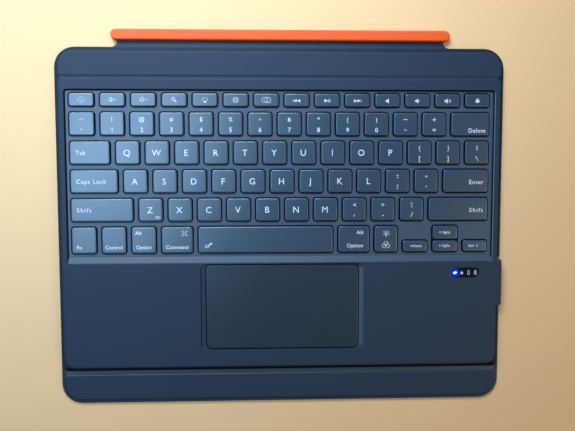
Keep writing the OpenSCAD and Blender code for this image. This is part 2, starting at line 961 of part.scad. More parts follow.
module status_lamps() {
    lamp_base = [2, 1.2, 0.6];
    color("#7fb0ff")
        placed()
            for (i = [0 : lamp_count - 1])
                translate([lamp_x(i), window_y, board_top]) {
                    translate([-lamp_base[0] / 2, -lamp_base[1] / 2, 0])
                        cube(lamp_base);
                    cylinder(r = lamp_r, h = housing_top - board_top - slack);
                }
}

cell_front = inner_front + 2 * boss_gap;
cell_beside_pad = 4;    // from the touchpad's recess to a battery cell
cell_side = pad_hole_half + pad_ledge + cell_beside_pad;
right_cell_d = board_front - cell_front - 2;

module battery_cell(x0, d) {
    rounded_plate(x0, x0 + cell_w, cell_front, cell_front + d, 2, 2, floor_z, floor_z + cell_t);
}

module battery_cells() {
    color("#b9bec4")
        placed() {
            battery_cell(-cell_side - cell_w, cell_d);
            battery_cell(cell_side, right_cell_d);
        }
}

module ribbon_cables() {
    t = 0.15;
    ribbon_w = 6;
    lead_w = 1.6;
    lead_t = 0.4;
    ribbon_end = board_left + connector_in - slack;
    pad_end = pad_board_half - 8;
    lead_y = pad_board_front + 3 * switch_w;
    color("#c7a15a")
        placed() {
            // From the touchpad's board to the main board.
            translate([0, pivot_y - 5, 0])
                rotate([90, 0, 0])
                    linear_extrude(ribbon_w)
                        polygon([
                            [pad_end, pad_board_z - 2 * slack - t],
                            [pad_end + 3, pad_board_z - 2 * slack - t], [pad_end + 6, floor_z],
                            [board_left - 3, floor_z], [board_left - slack, board_top],
                            [ribbon_end, board_top], [ribbon_end, board_top + t],
                            [board_left - slack - t, board_top + t], [board_left - 3 - t, floor_z + t],
                            [pad_end + 6 + t, floor_z + t],
                            [pad_end + 3 + t, pad_board_z - 2 * slack],
                            [pad_end, pad_board_z - 2 * slack]
                        ]);
            // From the contact membrane to the main board.
            translate([tail_x, board_rear - 4, board_top])
                cube([tail_w, stack_front - board_rear + 4, membrane_t]);
            // From the left battery cell, below the touchpad, to the right one.
            translate([-cell_side, lead_y, floor_z])
                cube([2 * cell_side, lead_w, lead_t]);
        }
}

// ---------- rear strip ----------

strip_rear = deck_rear - rear_flange;
strip_corner_r = deck_r - side_flange;

module strip_block(inset) {
    profiled_plate(
        -body_half + inset, body_half - inset, strip_front + inset, strip_rear - inset,
        body_rear_r - inset, strip_corner_r - inset,
        soft_edge(skin_t, body_h - inset, edge_lean, edge_r - inset)
    );
}

// The sleeve's inside, open towards the crease.
module strip_inside(inset) {
    strip_block(inset);
    translate([-body_half + body_rear_r + inset, strip_front - over, inset])
        cube([2 * (body_half - body_rear_r - inset), 2 * over + inset, crease_z - 2 * inset]);
}

magnet_d = 6;
magnet_t = 2;
strip_magnets_n = 6;
strip_magnet_end = 22;  // from the end of the strip to the middle of the last magnet

module strip_magnet_boxes(grow) {
    pitch = 2 * (body_half - strip_magnet_end) / (strip_magnets_n - 1);
    for (i = [0 : strip_magnets_n - 1])
        translate([
            -body_half + strip_magnet_end + i * pitch - magnet_l / 2 - grow,
            (strip_front + strip_rear - magnet_d) / 2 - grow,
            housing_top - fit - magnet_t - 2 * slack - grow
        ])
            cube([magnet_l + 2 * grow, magnet_d + 2 * grow, magnet_t + slack + 2 * grow]);
}

module strip_skin() {
    color(skin_color)
        placed()
            difference() {
                union() {
                    rounded_plate(
                        -deck_half, deck_half, strip_front, deck_rear, skin_t, deck_r, 0, laminate_t
                    );
                    strip_block(0);
                }
                strip_inside(skin_t);
            }
}

module strip_core() {
    color("#5b6068")
        placed()
            difference() {
                intersection() {
                    strip_inside(skin_t + fit);
                    translate([-body_half, strip_front, skin_t])
                        cube([2 * body_half, strip_d, body_h]);
                }
                translate([0, 0, slack])
                    strip_magnet_boxes(slack);
            }
}

module strip_magnets() {
    color(steel_color)
        placed()
            strip_magnet_boxes(0);
}

// ---------- hinge flap and docking rail ----------

fold_z = laminate_t / 2;
flap_fold = deck_rear + slack;
rail_fold = rail_front - flap_t / 2 - 1.5 * slack;

module hinge_flap() {
    y0 = flap_fold + fold_half;
    y1 = rail_fold - slack / 2;
    foot_half = flap_w / 2 + flap_d;
    color(skin_color)
        placed()
            translate([0, 0, fold_z - flap_t / 2])
                linear_extrude(flap_t)
                    difference() {
                        translate([-foot_half, y0])
                            square([2 * foot_half, y1 - y0]);
                        for (side = [-1, 1])
                            translate([side * foot_half, rail_front])
                                circle(r = flap_d);
                    }
}

rail_base_t = 0.8;
rail_corner_r = rail_d / 2 - fit;
rail_edge_r = 0.9;
rail_magnet_d = 3;
rail_magnet_t = 1.4;
rail_magnets_n = 7;
rail_magnet_end = 10;   // from the end of the rail to the end of the last magnet

module rail_magnet_boxes(grow) {
    pitch = (rail_w - 2 * rail_magnet_end - magnet_l) / (rail_magnets_n - 1);
    for (i = [0 : rail_magnets_n - 1])
        translate([
            -rail_w / 2 + rail_magnet_end + i * pitch - grow,
            rail_front + (rail_d - rail_magnet_d) / 2 - grow,
            rail_base_t
        ])
            cube([magnet_l + 2 * grow, rail_magnet_d + 2 * grow, rail_magnet_t + grow]);
}

module rail_cover() {
    color(rail_color)
        placed()
            difference() {
                profiled_plate(
                    -rail_w / 2, rail_w / 2, rail_front, folio_d, rail_corner_r, rail_corner_r,
                    soft_edge(rail_base_t, rail_h, slack, rail_edge_r)
                );
                rail_magnet_boxes(slack);
            }
}

module rail_base() {
    color(skin_color)
        placed()
            rounded_plate(
                -rail_w / 2, rail_w / 2, rail_front, folio_d, rail_corner_r, rail_corner_r,
                0, rail_base_t
            );
}

module rail_magnets() {
    color(steel_color)
        placed()
            rail_magnet_boxes(0);
}

// ---------- front closure flap ----------

closure_rear = front_crease - fold_half;
closure_half = deck_half - closure_flange;
closure_core_t = closure_h - 2 * skin_t - 2 * fit;
closure_magnets_n = 4;
closure_magnet_d = 5;
closure_magnet_end = 30;
closure_step = 1.4;     // from the raised panel to the crease
panel_edge_r = 0.6;
panel_wall = 1.5;
panel_rear = closure_rear - closure_step;
mouth_h = 0.4;          // height of the sleeve's mouth at the crease

module closure_slab(inset, z0, z1) {
    rounded_plate(
        -closure_half + inset, closure_half - inset, closure_flange + inset, panel_rear - inset,
        deck_r - closure_flange - inset, skin_t, z0, z1
    );
}

module closure_magnet_boxes(grow) {
    pitch = 2 * (closure_half - closure_magnet_end) / (closure_magnets_n - 1);
    for (i = [0 : closure_magnets_n - 1])
        translate([
            -closure_half + closure_magnet_end + i * pitch - magnet_l / 2 - grow,
            (closure_flange + panel_rear - closure_magnet_d) / 2 - grow,
            skin_t + fit
        ])
            cube([magnet_l + 2 * grow, closure_magnet_d + 2 * grow, closure_core_t + 2 * grow]);
}

module closure_skin() {
    panel_edge = soft_edge(laminate_t - slack, closure_h, slack, panel_edge_r);
    color(skin_color)
        placed()
            difference() {
                union() {
                    rounded_plate(
                        -deck_half, deck_half, deck_front, closure_rear, deck_r, skin_t, 0, laminate_t
                    );
                    profiled_plate(
                        -closure_half, closure_half, closure_flange, panel_rear,
                        deck_r - closure_flange, panel_wall, panel_edge
                    );
                }
                closure_slab(panel_wall, skin_t, closure_h - skin_t);
                translate([-closure_half + deck_r, panel_rear - 2 * panel_wall, skin_t])
                    cube([2 * (closure_half - deck_r), deck_r, mouth_h]);
            }
}

module closure_core() {
    color("#5b6068")
        placed()
            difference() {
                closure_slab(panel_wall + slack, skin_t + fit, skin_t + fit + closure_core_t);
                translate([0, 0, -slack])
                    closure_magnet_boxes(slack);
            }
}

module closure_magnets() {
    color(steel_color)
        placed()
            closure_magnet_boxes(0);
}

// ---------- what is drawn ----------

lower_skin();
upper_skin();
top_housing();
bottom_tray();
key_web();
key_plate();
contact_membrane();
light_guide();
dome_sheet();
scissor_links();
touchpad_plate();
touchpad_board();
touchpad_switch();
battery_cells();
main_board();
usb_socket();
port_bezel();
power_switch();
power_slider();
status_window();
status_lamps();
ribbon_cables();
housing_screws();
strip_skin();
strip_core();
strip_magnets();
hinge_flap();
rail_cover();
rail_base();
rail_magnets();
closure_skin();
closure_core();
closure_magnets();
keys([bottom_cap(space_place)]);  // space_key
keys([last_cap(home_row)]);  // enter_key
keys([last_cap(number_row)]);  // delete_key
keys([main_cap(upper_row, 0)]);  // tab_key
keys([main_cap(home_row, 0)]);  // caps_lock_key
keys([main_cap(lower_row, 0)]);  // left_shift_key
keys([last_cap(lower_row)]);  // right_shift_key
keys(left_modifier_caps);  // left_modifier_keys
keys(right_modifier_caps);  // right_modifier_keys
keys([left_arrow_cap]);  // left_arrow_key
keys([right_arrow_cap]);  // right_arrow_key
keys([up_arrow_cap]);  // up_arrow_key
keys([down_arrow_cap]);  // down_arrow_key
keys(column_caps(1));  // key_column_1
keys(column_caps(2));  // key_column_2
keys(column_caps(3));  // key_column_3
keys(column_caps(4));  // key_column_4
keys(column_caps(5));  // key_column_5
keys(column_caps(6));  // key_column_6
keys(column_caps(7));  // key_column_7
keys(column_caps(8));  // key_column_8
keys(column_caps(9));  // key_column_9
keys(column_caps(10));  // key_column_10
keys([for (i = [0, 11, 12]) main_cap(number_row, i)]);  // symbol_keys_top
keys(concat(  // symbol_keys_side
    [for (i = [11 : 13]) main_cap(upper_row, i)], [main_cap(home_row, 11)]
));
keys([for (i = [0 : 6]) function_cap(i)]);  // system_keys
keys([for (i = [7 : function_keys - 1]) function_cap(i)]);  // media_keys
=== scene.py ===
# %% [markdown]
# # A tablet keyboard folio, dressed in Blender
# The folio lies open and flat: a thin keyboard body in coated leatherette, a strip and a
# docking rail behind it, and a front flap. The CAD part gives every size and every joint.
# This lesson gives it skins, keycaps, printed legends, materials, light and a camera.

# %% Load the frame
import json
import math

import bpy
import bmesh
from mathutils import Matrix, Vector
from mathutils.geometry import tessellate_polygon


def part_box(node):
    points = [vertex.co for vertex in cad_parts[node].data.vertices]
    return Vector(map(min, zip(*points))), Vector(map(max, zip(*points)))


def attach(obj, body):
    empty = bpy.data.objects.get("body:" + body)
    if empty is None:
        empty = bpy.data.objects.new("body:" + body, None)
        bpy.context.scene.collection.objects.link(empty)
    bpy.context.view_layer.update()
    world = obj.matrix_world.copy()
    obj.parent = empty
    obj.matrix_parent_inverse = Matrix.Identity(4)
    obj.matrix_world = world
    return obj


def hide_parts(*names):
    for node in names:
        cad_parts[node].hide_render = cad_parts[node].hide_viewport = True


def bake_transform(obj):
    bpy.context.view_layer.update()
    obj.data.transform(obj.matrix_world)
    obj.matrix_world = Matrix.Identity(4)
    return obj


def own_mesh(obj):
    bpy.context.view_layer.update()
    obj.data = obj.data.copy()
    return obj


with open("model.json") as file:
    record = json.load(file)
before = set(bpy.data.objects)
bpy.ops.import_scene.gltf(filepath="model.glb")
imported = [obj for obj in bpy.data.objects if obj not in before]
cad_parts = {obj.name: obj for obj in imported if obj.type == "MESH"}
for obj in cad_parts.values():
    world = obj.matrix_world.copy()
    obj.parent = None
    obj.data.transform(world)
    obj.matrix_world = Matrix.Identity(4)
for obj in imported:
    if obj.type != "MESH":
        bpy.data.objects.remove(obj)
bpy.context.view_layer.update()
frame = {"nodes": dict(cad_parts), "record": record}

# %% [markdown]
# ## Sizes
# The body is drawn in millimetres. Depths are counted from the front edge of the front flap,
# as a pattern maker would lay out the skins, and moved to the frame's middle at the end.

# %% Sizes in millimetres
MM = 0.001
MIDDLE = 120.6  # depth of the frame's middle
DECK_HALF = 144.0  # half the laminate's width
BODY_HALF = 141.0  # half the raised body's width
WELL_HALF = 137.2  # half the key well's width
FRONT_CREASE = 21.3  # where the front flap folds
SKIN_SPLIT = 22.8  # where the front flap's sheet meets the body's
BODY_FRONT = 24.0
PAD_FRONT, PAD_REAR = 35.9, 91.7  # the hole for the touchpad
RAMP_TOP, RAMP_FOOT = 92.3, 96.9  # the slope from the palm rest down to the key web
WELL_REAR = 203.2
REAR_CREASE = 210.8  # where the rear strip folds
CREASE_GAP = 0.15  # half the slit between the body and the strip
STRIP_REAR = 227.6
DECK_REAR = 230.3
RAIL_FRONT = 234.4
FOLIO_REAR = 241.2
BODY_TOP = 6.2
WEB_TOP = 4.6
LAMINATE = 1.4  # two skins pressed together
PANEL_FOOT = LAMINATE - 0.1  # covers start inside the laminate, so that no gap shows
DECK_R = 13.0  # the laminate's outer corners


def box_mm(node):
    """A CAD node's lowest and highest corners in millimetres, with depths from the front."""
    low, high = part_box(node)
    a = [low[0] / MM, low[1] / MM + MIDDLE, low[2] / MM]
    b = [high[0] / MM, high[1] / MM + MIDDLE, high[2] / MM]
    return a, b


print("deck", box_mm("lower_skin"), "rail", box_mm("rail_cover"))

# %% [markdown]
# ## Helpers for meshes
# Every piece here is a stack of closed outlines, so one helper makes a rounded outline, one
# joins a stack of outlines with quads, and one turns the result into an object. Cutting and
# bevelling blocks would also do, but this way says where each soft edge starts and ends.

# %% Outlines
CORNER_STEPS = 7
LEAST_RADIUS = 0.02  # a corner of no radius would pile its points up
SPIKE_LIMIT = 0.3  # keeps the mitre of a very sharp corner short


def rounded(x0, x1, y0, y1, r_front, r_rear, steps=CORNER_STEPS):
    """A rounded rectangle, anticlockwise from its front left corner."""
    r_front = max(r_front, LEAST_RADIUS)
    r_rear = max(r_rear, LEAST_RADIUS)
    corners = [
        (x0 + r_front, y0 + r_front, r_front, 180),
        (x1 - r_front, y0 + r_front, r_front, 270),
        (x1 - r_rear, y1 - r_rear, r_rear, 0),
        (x0 + r_rear, y1 - r_rear, r_rear, 90),
    ]
    points = []
    for cx, cy, r, start in corners:
        for i in range(steps + 1):
            a = math.radians(start + 90 * i / steps)
            points.append((cx + r * math.cos(a), cy + r * math.sin(a)))
    return points


def inset(points, d):
    """The outline moved inwards by d, with mitred corners."""
    moved = []
    n = len(points)
    for i in range(n):
        (ax, ay), (bx, by), (cx, cy) = points[i - 1], points[i], points[(i + 1) % n]
        u = Vector((bx - ax, by - ay))
        v = Vector((cx - bx, cy - by))
        if u.length < 1e-6 or v.length < 1e-6:
            u = v = u if u.length > v.length else v
        u.normalize()
        v.normalize()
        nu, nv = Vector((-u.y, u.x)), Vector((-v.y, v.x))
        m = (nu + nv) / max(1 + nu.dot(nv), SPIKE_LIMIT)
        moved.append((bx + m.x * d, by + m.y * d))
    return moved


def ring(points, z):
    """An outline at one height."""
    return [(x, y, z) for x, y in points]


def soft_edge(outline, z0, z1, lean, r, steps=5, support=0.5, foot=0.0):
    """Rings up a panel's edge: a foot, a leaning wall and a round to the top."""
    rings = [ring(inset(outline, foot), z0)] if foot else []
    rings.append(ring(outline, z0 + (0.15 if foot else 0)))
    for i in range(steps + 1):
        a = math.radians(90 * i / steps)
        d = lean + r * (1 - math.cos(a))
        rings.append(ring(inset(outline, d), z1 - r + r * math.sin(a)))
    rings.append(ring(inset(outline, lean + r + support), z1))
    return rings


plan = rounded(-1, 1, -1, 1, 0.5, 0.5)
print("a rounded outline has", len(plan), "points, from", [round(v, 2) for v in plan[0]])

# %% Meshes and objects
def new_object(name, data):
    """An object for this mesh, text, lamp or camera, linked into the scene."""
    obj = bpy.data.objects.new(name, data)
    bpy.context.scene.collection.objects.link(obj)
    return obj


def plain_mesh(holder):
    """The mesh that a modifier or a text works out to. The holder is then thrown away."""
    graph = bpy.context.evaluated_depsgraph_get()
    mesh = bpy.data.meshes.new_from_object(holder.evaluated_get(graph))
    bpy.data.objects.remove(holder)
    return mesh


def edit(mesh, change):
    """Opens a mesh, lets a function change it, and writes it back."""
    bm = bmesh.new()
    bm.from_mesh(mesh)
    change(bm)
    bm.to_mesh(mesh)
    bm.free()


def merge(bm):
    """Points in one place become one point."""
    bmesh.ops.remove_doubles(bm, verts=bm.verts, dist=1e-7)


def merge_and_clean(bm):
    """Merges points and takes out faces without an area."""
    merge(bm)
    bmesh.ops.dissolve_degenerate(bm, edges=bm.edges, dist=1e-8)


def soften(mesh, angle):
    """Smooth shading; edges that turn by more than this angle stay sharp."""
    mesh.polygons.foreach_set("use_smooth", [True] * len(mesh.polygons))
    mesh.set_sharp_from_angle(angle=math.radians(angle))


class Build:
    """Collects points and faces in millimetres and makes one object of them."""

    def __init__(self):
        self.points = []
        self.faces = []

    def add_ring(self, pts):
        start = len(self.points)
        self.points.extend(pts)
        return list(range(start, start + len(pts)))

    def loft(self, rings):
        """Joins rings of equal length; with anticlockwise rings that rise, it faces outwards."""
        ids = [self.add_ring(r) for r in rings]
        for low, high in zip(ids, ids[1:]):
            n = len(low)
            for i in range(n):
                j = (i + 1) % n
                self.faces.append((low[i], low[j], high[j], high[i]))
        return ids

    def fill(self, outer, holes=(), up=True):
        """A flat face inside one ring, with holes."""
        loops = [outer, *holes]
        flat = [i for loop in loops for i in loop]
        polys = [[Vector(self.points[i]) for i in loop] for loop in loops]
        for tri in tessellate_polygon(polys):
            a, b, c = (flat[k] for k in tri)
            pa, pb, pc = (Vector(self.points[k]) for k in (a, b, c))
            rising = (pb - pa).cross(pc - pa).z > 0
            self.faces.append((a, b, c) if rising == up else (a, c, b))

    def solid(self, rings):
        """A closed solid from a stack of rings."""
        ids = self.loft(rings)
        self.fill(ids[0], up=False)
        self.fill(ids[-1], up=True)
        return ids

    def make(self, name, smooth=35):
        """The finished object, with its place in its mesh."""
        mesh = bpy.data.meshes.new(name)
        pts = [(x * MM, (y - MIDDLE) * MM, z * MM) for x, y, z in self.points]
        mesh.from_pydata(pts, [], self.faces)
        edit(mesh, merge_and_clean)
        soften(mesh, smooth)
        mesh.update()
        return new_object(name, mesh)


# %% What a finished piece needs
def finish_piece(obj, body, material, slot, *nodes):
    """Gives a finished mesh its material, its CAD body and the nodes that it stands for."""
    obj.data.materials.clear()
    obj.data.materials.append(material)
    if body:
        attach(obj, body)
    if nodes:
        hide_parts(*nodes)
    print(obj.name, len(obj.data.polygons), "faces")
    return obj


def solid_piece(name, rings, body, material, slot, *nodes, smooth=35):
    """A solid from a stack of rings, finished as one piece."""
    build = Build()
    build.solid(rings)
    return finish_piece(build.make(name, smooth), body, material, slot, *nodes)


def second_finish(obj, material, wanted):
    """The faces that pass a test of place and direction take a further material."""
    obj.data.materials.append(material)
    index = len(obj.data.materials) - 1
    from_front = Vector((0, MIDDLE, 0))
    chosen = [f for f in obj.data.polygons if wanted(f.center / MM + from_front, f.normal)]
    for face in chosen:
        face.material_index = index
    print(obj.name, len(chosen), "faces in", material.name)


print("CAD nodes that pieces can stand for", len(frame["nodes"]))

# %% [markdown]
# ## Helpers for materials
# Colours are written as designers write them, in sRGB hex, and turned to linear once.
# One small function adds a node with its settings and its links. All plastics and coated
# skins here share one tree: a broad noise for mottling and gloss, and a fine grain as bump.

# %% Colour and node helpers
def linear(code):
    """An sRGB hex colour as linear RGBA."""
    parts = [int(code[i:i + 2], 16) / 255 for i in (1, 3, 5)]
    return (*(c / 12.92 if c <= 0.04045 else ((c + 0.055) / 1.055) ** 2.4 for c in parts), 1.0)


def add(tree, kind, settings=None, values=None, links=None):
    """Adds one node: settings are its properties, values its inputs, links its sources."""
    n = tree.nodes.new(kind)
    for key, value in (settings or {}).items():
        setattr(n, key, value)
    for key, value in (values or {}).items():
        n.inputs[key].default_value = value
    for key, source in (links or {}).items():
        tree.links.new(source, n.inputs[key])
    return n


def start_material(name):
    """A new material, its tree and its shader."""
    mat = bpy.data.materials.new(name)
    mat.use_nodes = True
    return mat, mat.node_tree, mat.node_tree.nodes["Principled BSDF"]


MOTTLE_SCALE = 22.0  # mottling some 45 mm across, as uneven handling and dye leave it
BUMP_STRENGTH = 0.6
print("middle grey is", [round(v, 3) for v in linear("#808080")])

# %% Moulded and coated surfaces
def moulded(name, colour, roughness, grain_mm, bump_mm, tone=0.06, rough_spread=0.05,
            specular=0.5, pebbled=False, ior=1.5):
    """A moulded or coated surface: mottled tone, fine grain and a slightly uneven gloss."""
    mat, tree, shader = start_material(name)
    place = add(tree, "ShaderNodeTexCoord").outputs["Object"]
    broad = add(tree, "ShaderNodeTexNoise", {},
                {"Scale": MOTTLE_SCALE, "Detail": 3.0, "Roughness": 0.6}, {"Vector": place})
    tones = [tuple(min(c * share, 1) for c in linear(colour)[:3]) + (1,)
             for share in (1 - tone, 1 + tone)]
    mix = add(tree, "ShaderNodeMix", {"data_type": "RGBA"}, {6: tones[0], 7: tones[1]},
              {"Factor": broad.outputs["Fac"]})
    scale = 1 / (grain_mm * MM)
    if pebbled:
        grain = add(tree, "ShaderNodeTexVoronoi", {"feature": "SMOOTH_F1"},
                    {"Scale": scale, "Smoothness": 0.6, "Randomness": 0.9}, {"Vector": place})
        height = grain.outputs["Distance"]
    else:
        grain = add(tree, "ShaderNodeTexNoise", {}, {"Scale": scale, "Detail": 2.0},
                    {"Vector": place})
        height = grain.outputs["Fac"]
    rough = add(tree, "ShaderNodeMapRange", {},
                {"To Min": roughness - rough_spread, "To Max": roughness + rough_spread},
                {"Value": broad.outputs["Fac"]})
    bump = add(tree, "ShaderNodeBump", {"invert": pebbled},
               {"Strength": BUMP_STRENGTH, "Distance": bump_mm * MM}, {"Height": height})
    tree.links.new(mix.outputs[2], shader.inputs["Base Color"])
    tree.links.new(rough.outputs["Result"], shader.inputs["Roughness"])
    tree.links.new(bump.outputs["Normal"], shader.inputs["Normal"])
    shader.inputs["Specular IOR Level"].default_value = specular
    shader.inputs["IOR"].default_value = ior
    return mat


print("mottling every", round(1 / MOTTLE_SCALE / MM), "mm")

# %% [markdown]
# ## Finishes
# Coated leatherette is a polyurethane film on a woven backing: matte, with a fine pebble.
# Pressed into the flange it looks darker. Paler copies of the film are painted highlights
# on lips and slopes that face the light, and a near-black copy is painted shade on walls
# in shadow. The keycaps are ABS, spark-eroded to a satin; the web is the same plastic, a
# little rougher. The docking rail is silicone-coated in orange.

# %% Leatherette, pressed, and with painted highlights and painted shade
# Polyurethane film, embossed: matte, with a pebble that just shows.
leatherette = moulded("coated_leatherette", "#243547", 0.60, 0.55, 0.05, 0.05, 0.05,
                      specular=0.27, pebbled=True)
# Pressed flat into the flange it is dull and dark.
flange_skin = moulded("pressed_leatherette", "#1d2a38", 0.62, 0.55, 0.04, 0.05, 0.05,
                      specular=0.2, pebbled=True)
# Painted highlight: a paler copy without the pebble and with a little more shine.
painted_highlight_skin = moulded("smoothed_leatherette", "#3c4f62", 0.45, 0.55, 0.01, 0.04, 0.04)
# A stronger painted highlight, paler still, for the brightest lip.
strong_highlight_skin = moulded("burnished_leatherette", "#5a6f86", 0.50, 0.55, 0.01, 0.04, 0.04)
# Painted shade: a near-black copy for walls and corners that lie in shadow.
painted_shade_skin = moulded("folded_leatherette", "#0b121b", 0.70, 0.55, 0.02, 0.05, 0.05,
                      specular=0.1)
print("skins", [m.name for m in bpy.data.materials])

# %% Plastics, film, rubber and ink
# Satin ABS throws back a soft sheen of whatever lies above it.
cap_abs = moulded("satin_abs_keycap", "#153950", 0.36, 0.30, 0.008, 0.04, 0.04,
                  specular=1.0, ior=1.64)
# Painted highlight: a paler, glossier copy of the cap plastic
# draws a thin bright line round the rim of each cap.
rim_highlight_abs = moulded("polished_abs_rim", "#345069", 0.27, 0.50, 0.002, 0.03, 0.03, specular=1.0)
# Painted shade: the sides of caps and of the web's openings lie in a narrow gap, so they
# take a near-black copy.
skirt_shade_abs = moulded("shaded_abs_skirt", "#0a1119", 0.60, 0.30, 0.008, 0.04, 0.04, specular=0.2)
# The web is moulded rougher than the caps, so it looks paler and flatter.
web_abs = moulded("satin_abs_web", "#3a4c60", 0.44, 0.35, 0.012, 0.05, 0.05, specular=0.6)
# Etched film gives a wide, even reflection without a grain.
pad_film = moulded("etched_pet_film", "#142a3a", 0.34, 0.25, 0.006, 0.03, 0.03, specular=1.0)
# Silicone keeps one deep, even colour and hardly shines.
rail_rubber = moulded("orange_silicone", "#f25c24", 0.50, 0.40, 0.012, 0.03, 0.05, specular=0.3)
# Spark-eroded black ABS: neutral, with a dull shine.
dark_shell = moulded("black_abs_moulding", "#10141a", 0.50, 0.40, 0.02)
# Smoked acrylic is polished: nearly black, with sharp reflections.
window_gloss = moulded("smoked_acrylic", "#0b1020", 0.12, 2.0, 0.002, 0.02, 0.02)
# Pad-printing ink dries to a flat, slightly blue white.
legend_ink = moulded("white_legend_ink", "#cfdbe6", 0.55, 0.40, 0.004, 0.02)
print("finishes", len(bpy.data.materials))

# %% [markdown]
# ## The body's cover
# The cover is one skin, heat-formed over the housing. It falls softly at its edges, lines the
# key well and the touchpad's recess, and carries a block for the ports at the right. It could
# be cut out of a block, but soft lips come out cleaner as stacks of rings. So the outer edge
# and each opening are such a stack, and one flat face with three holes closes the top.

# %% The cover's edge, with the port block
PORT_REAR = RAMP_TOP + 1.5
PORT_FRONT = PORT_REAR - 30.7
PORT_FACE = BODY_HALF + 2.4
PORT_BEVEL = 1.4
PORT_SHOULDER = BODY_TOP - 0.75  # the block's side is open below this height
EDGE_LEAN, EDGE_R = 0.3, 1.1


def body_outline():
    """The body's plan, and the numbers of the points on the port block."""
    plain = rounded(-BODY_HALF, BODY_HALF, BODY_FRONT, REAR_CREASE - CREASE_GAP, 7.0, 2.6)
    split = 2 * (CORNER_STEPS + 1)
    x, far = BODY_HALF, PORT_FACE - PORT_BEVEL
    block = [(x, PORT_FRONT - 0.5), (x, PORT_FRONT), (far, PORT_FRONT),
             (PORT_FACE, PORT_FRONT + PORT_BEVEL), (PORT_FACE, PORT_REAR - PORT_BEVEL),
             (far, PORT_REAR), (x, PORT_REAR), (x, PORT_REAR + 0.5)]
    return plain[:split] + block + plain[split:], set(range(split + 1, split + 7))


outline, port_ids = body_outline()
rings = soft_edge(outline, PANEL_FOOT, BODY_TOP, EDGE_LEAN, EDGE_R, support=0.6, foot=-0.5)
for level in rings:
    for i in port_ids:
        x, y, z = level[i]
        level[i] = (x, y, max(z, PORT_SHOULDER))
cover = Build()
edge = cover.loft(rings)
print("cover's edge", len(outline), "points in", len(rings), "rings")

# %% The key well
RAMP_SLOPE = (RAMP_FOOT - RAMP_TOP) / (BODY_TOP - WEB_TOP)
# How far out the wall stands at each height, from below the web up to the rounded lip.
WELL_WALL = [(-0.75, WEB_TOP - 0.05), (-0.7, WEB_TOP + 0.1), (-0.15, 5.75), (0.0, 6.0),
             (0.14, 6.13), (0.3, BODY_TOP), (0.65, BODY_TOP)]


def well_ring(out, z):
    """The well at one height. Its front side is the ramp."""
    front = RAMP_TOP - out * 0.4 + (BODY_TOP - z) * RAMP_SLOPE
    return ring(rounded(-WELL_HALF - out, WELL_HALF + out, front, WELL_REAR + out,
                        1.0 + out, 2.0 + out), z)


well = cover.loft([well_ring(*step) for step in WELL_WALL])
print("well", len(WELL_WALL), "rings")

# %% The touchpad's recess
PAD_HOLE, PAD_LEDGE = 49.8, 2.9
# How far out it stands at the sides and at the ends, then the height and the corner radius.
PAD_WALL = [(0, 0, 4.2, 4.0), (0, 0, 5.5, 4.0), (0.2, 0.02, 5.6, 4.0),
            (PAD_LEDGE - 0.9, 0.03, 5.64, 3.7), (PAD_LEDGE - 0.5, 0.05, 5.72, 3.6),
            (PAD_LEDGE - 0.2, 0.1, 6.04, 3.5), (PAD_LEDGE - 0.05, 0.18, 6.17, 3.5),
            (PAD_LEDGE + 0.1, 0.25, BODY_TOP, 3.6), (PAD_LEDGE + 0.4, 0.4, BODY_TOP, 3.8)]


def pad_ring(side, end, z, r):
    """The recess at one height."""
    plan = rounded(-PAD_HOLE - side, PAD_HOLE + side, PAD_FRONT - end, PAD_REAR + end, r, r)
    return ring(plan, z)


pad = cover.loft([pad_ring(*step) for step in PAD_WALL])
print("recess", len(PAD_WALL), "rings")

# %% The status window's opening
(wx0, wy0, wz0), (wx1, wy1, wz1) = box_mm("status_window")
WINDOW_WALL = [(0.1, 5.4), (0.1, 6.05), (0.2, 6.16), (0.35, BODY_TOP), (0.7, BODY_TOP)]


def window_ring(out, z):
    """The window's pill shape at one height."""
    r = (wy1 - wy0) / 2 - 0.05 + out
    return ring(rounded(wx0 - out, wx1 + out, wy0 - out, wy1 + out, r, r), z)


pill = cover.loft([window_ring(*step) for step in WINDOW_WALL])
print("window", round(wx1 - wx0, 2), "by", round(wy1 - wy0, 2), "mm")

# %% The top face closes the cover
def turn_inside(build, loops):
    """Holes are lofted like pegs, so their faces are turned round."""
    inner = {i for loop in loops for i in loop}
    build.faces = [tuple(reversed(f)) if inner.issuperset(f) else f for f in build.faces]


turn_inside(cover, [*well, *pad, *pill])
cover.fill(edge[-1], [well[-1], pad[-1], pill[-1]])
body_cover = finish_piece(cover.make("body_cover"), "deck", leatherette, "skin", "upper_skin")

# %% [markdown]
# ## Painted highlights and painted shade on the skin
# Lips and slopes that face the light take a painted highlight, and walls in shadow take
# painted shade. Painting that on would need an image, so those faces take a finish of their
# own instead. They are picked by their place and by where they point, and the cover stays
# one mesh.

# %% Edges of the well and of the recess
def inside(c, x=(-DECK_HALF, DECK_HALF), y=(0, FOLIO_REAR), z=(0, 10)):
    """True where a place lies between these limits, in millimetres."""
    return all(low < value < high for value, (low, high) in zip(c, (x, y, z)))


ledge = PAD_HOLE + PAD_LEDGE
along_pad = (PAD_FRONT + 2, PAD_REAR - 2)
# Painted shade on the key well's left and rear walls.
second_finish(body_cover, painted_shade_skin, lambda c, n: n.z < 0.7 and (
    inside(c, (-WELL_HALF - 0.3, -WELL_HALF + 1), (RAMP_TOP, FOLIO_REAR), (WEB_TOP, 6.0))
    or inside(c, y=(WELL_REAR - 1, WELL_REAR + 0.3), z=(WEB_TOP, 6.0))))
# Painted shade on the outer wall at the recess's left ledge.
second_finish(body_cover, painted_shade_skin, lambda c, n: inside(
    c, (-ledge - 0.1, -ledge + 0.5), along_pad, (5.7, 6.19)))
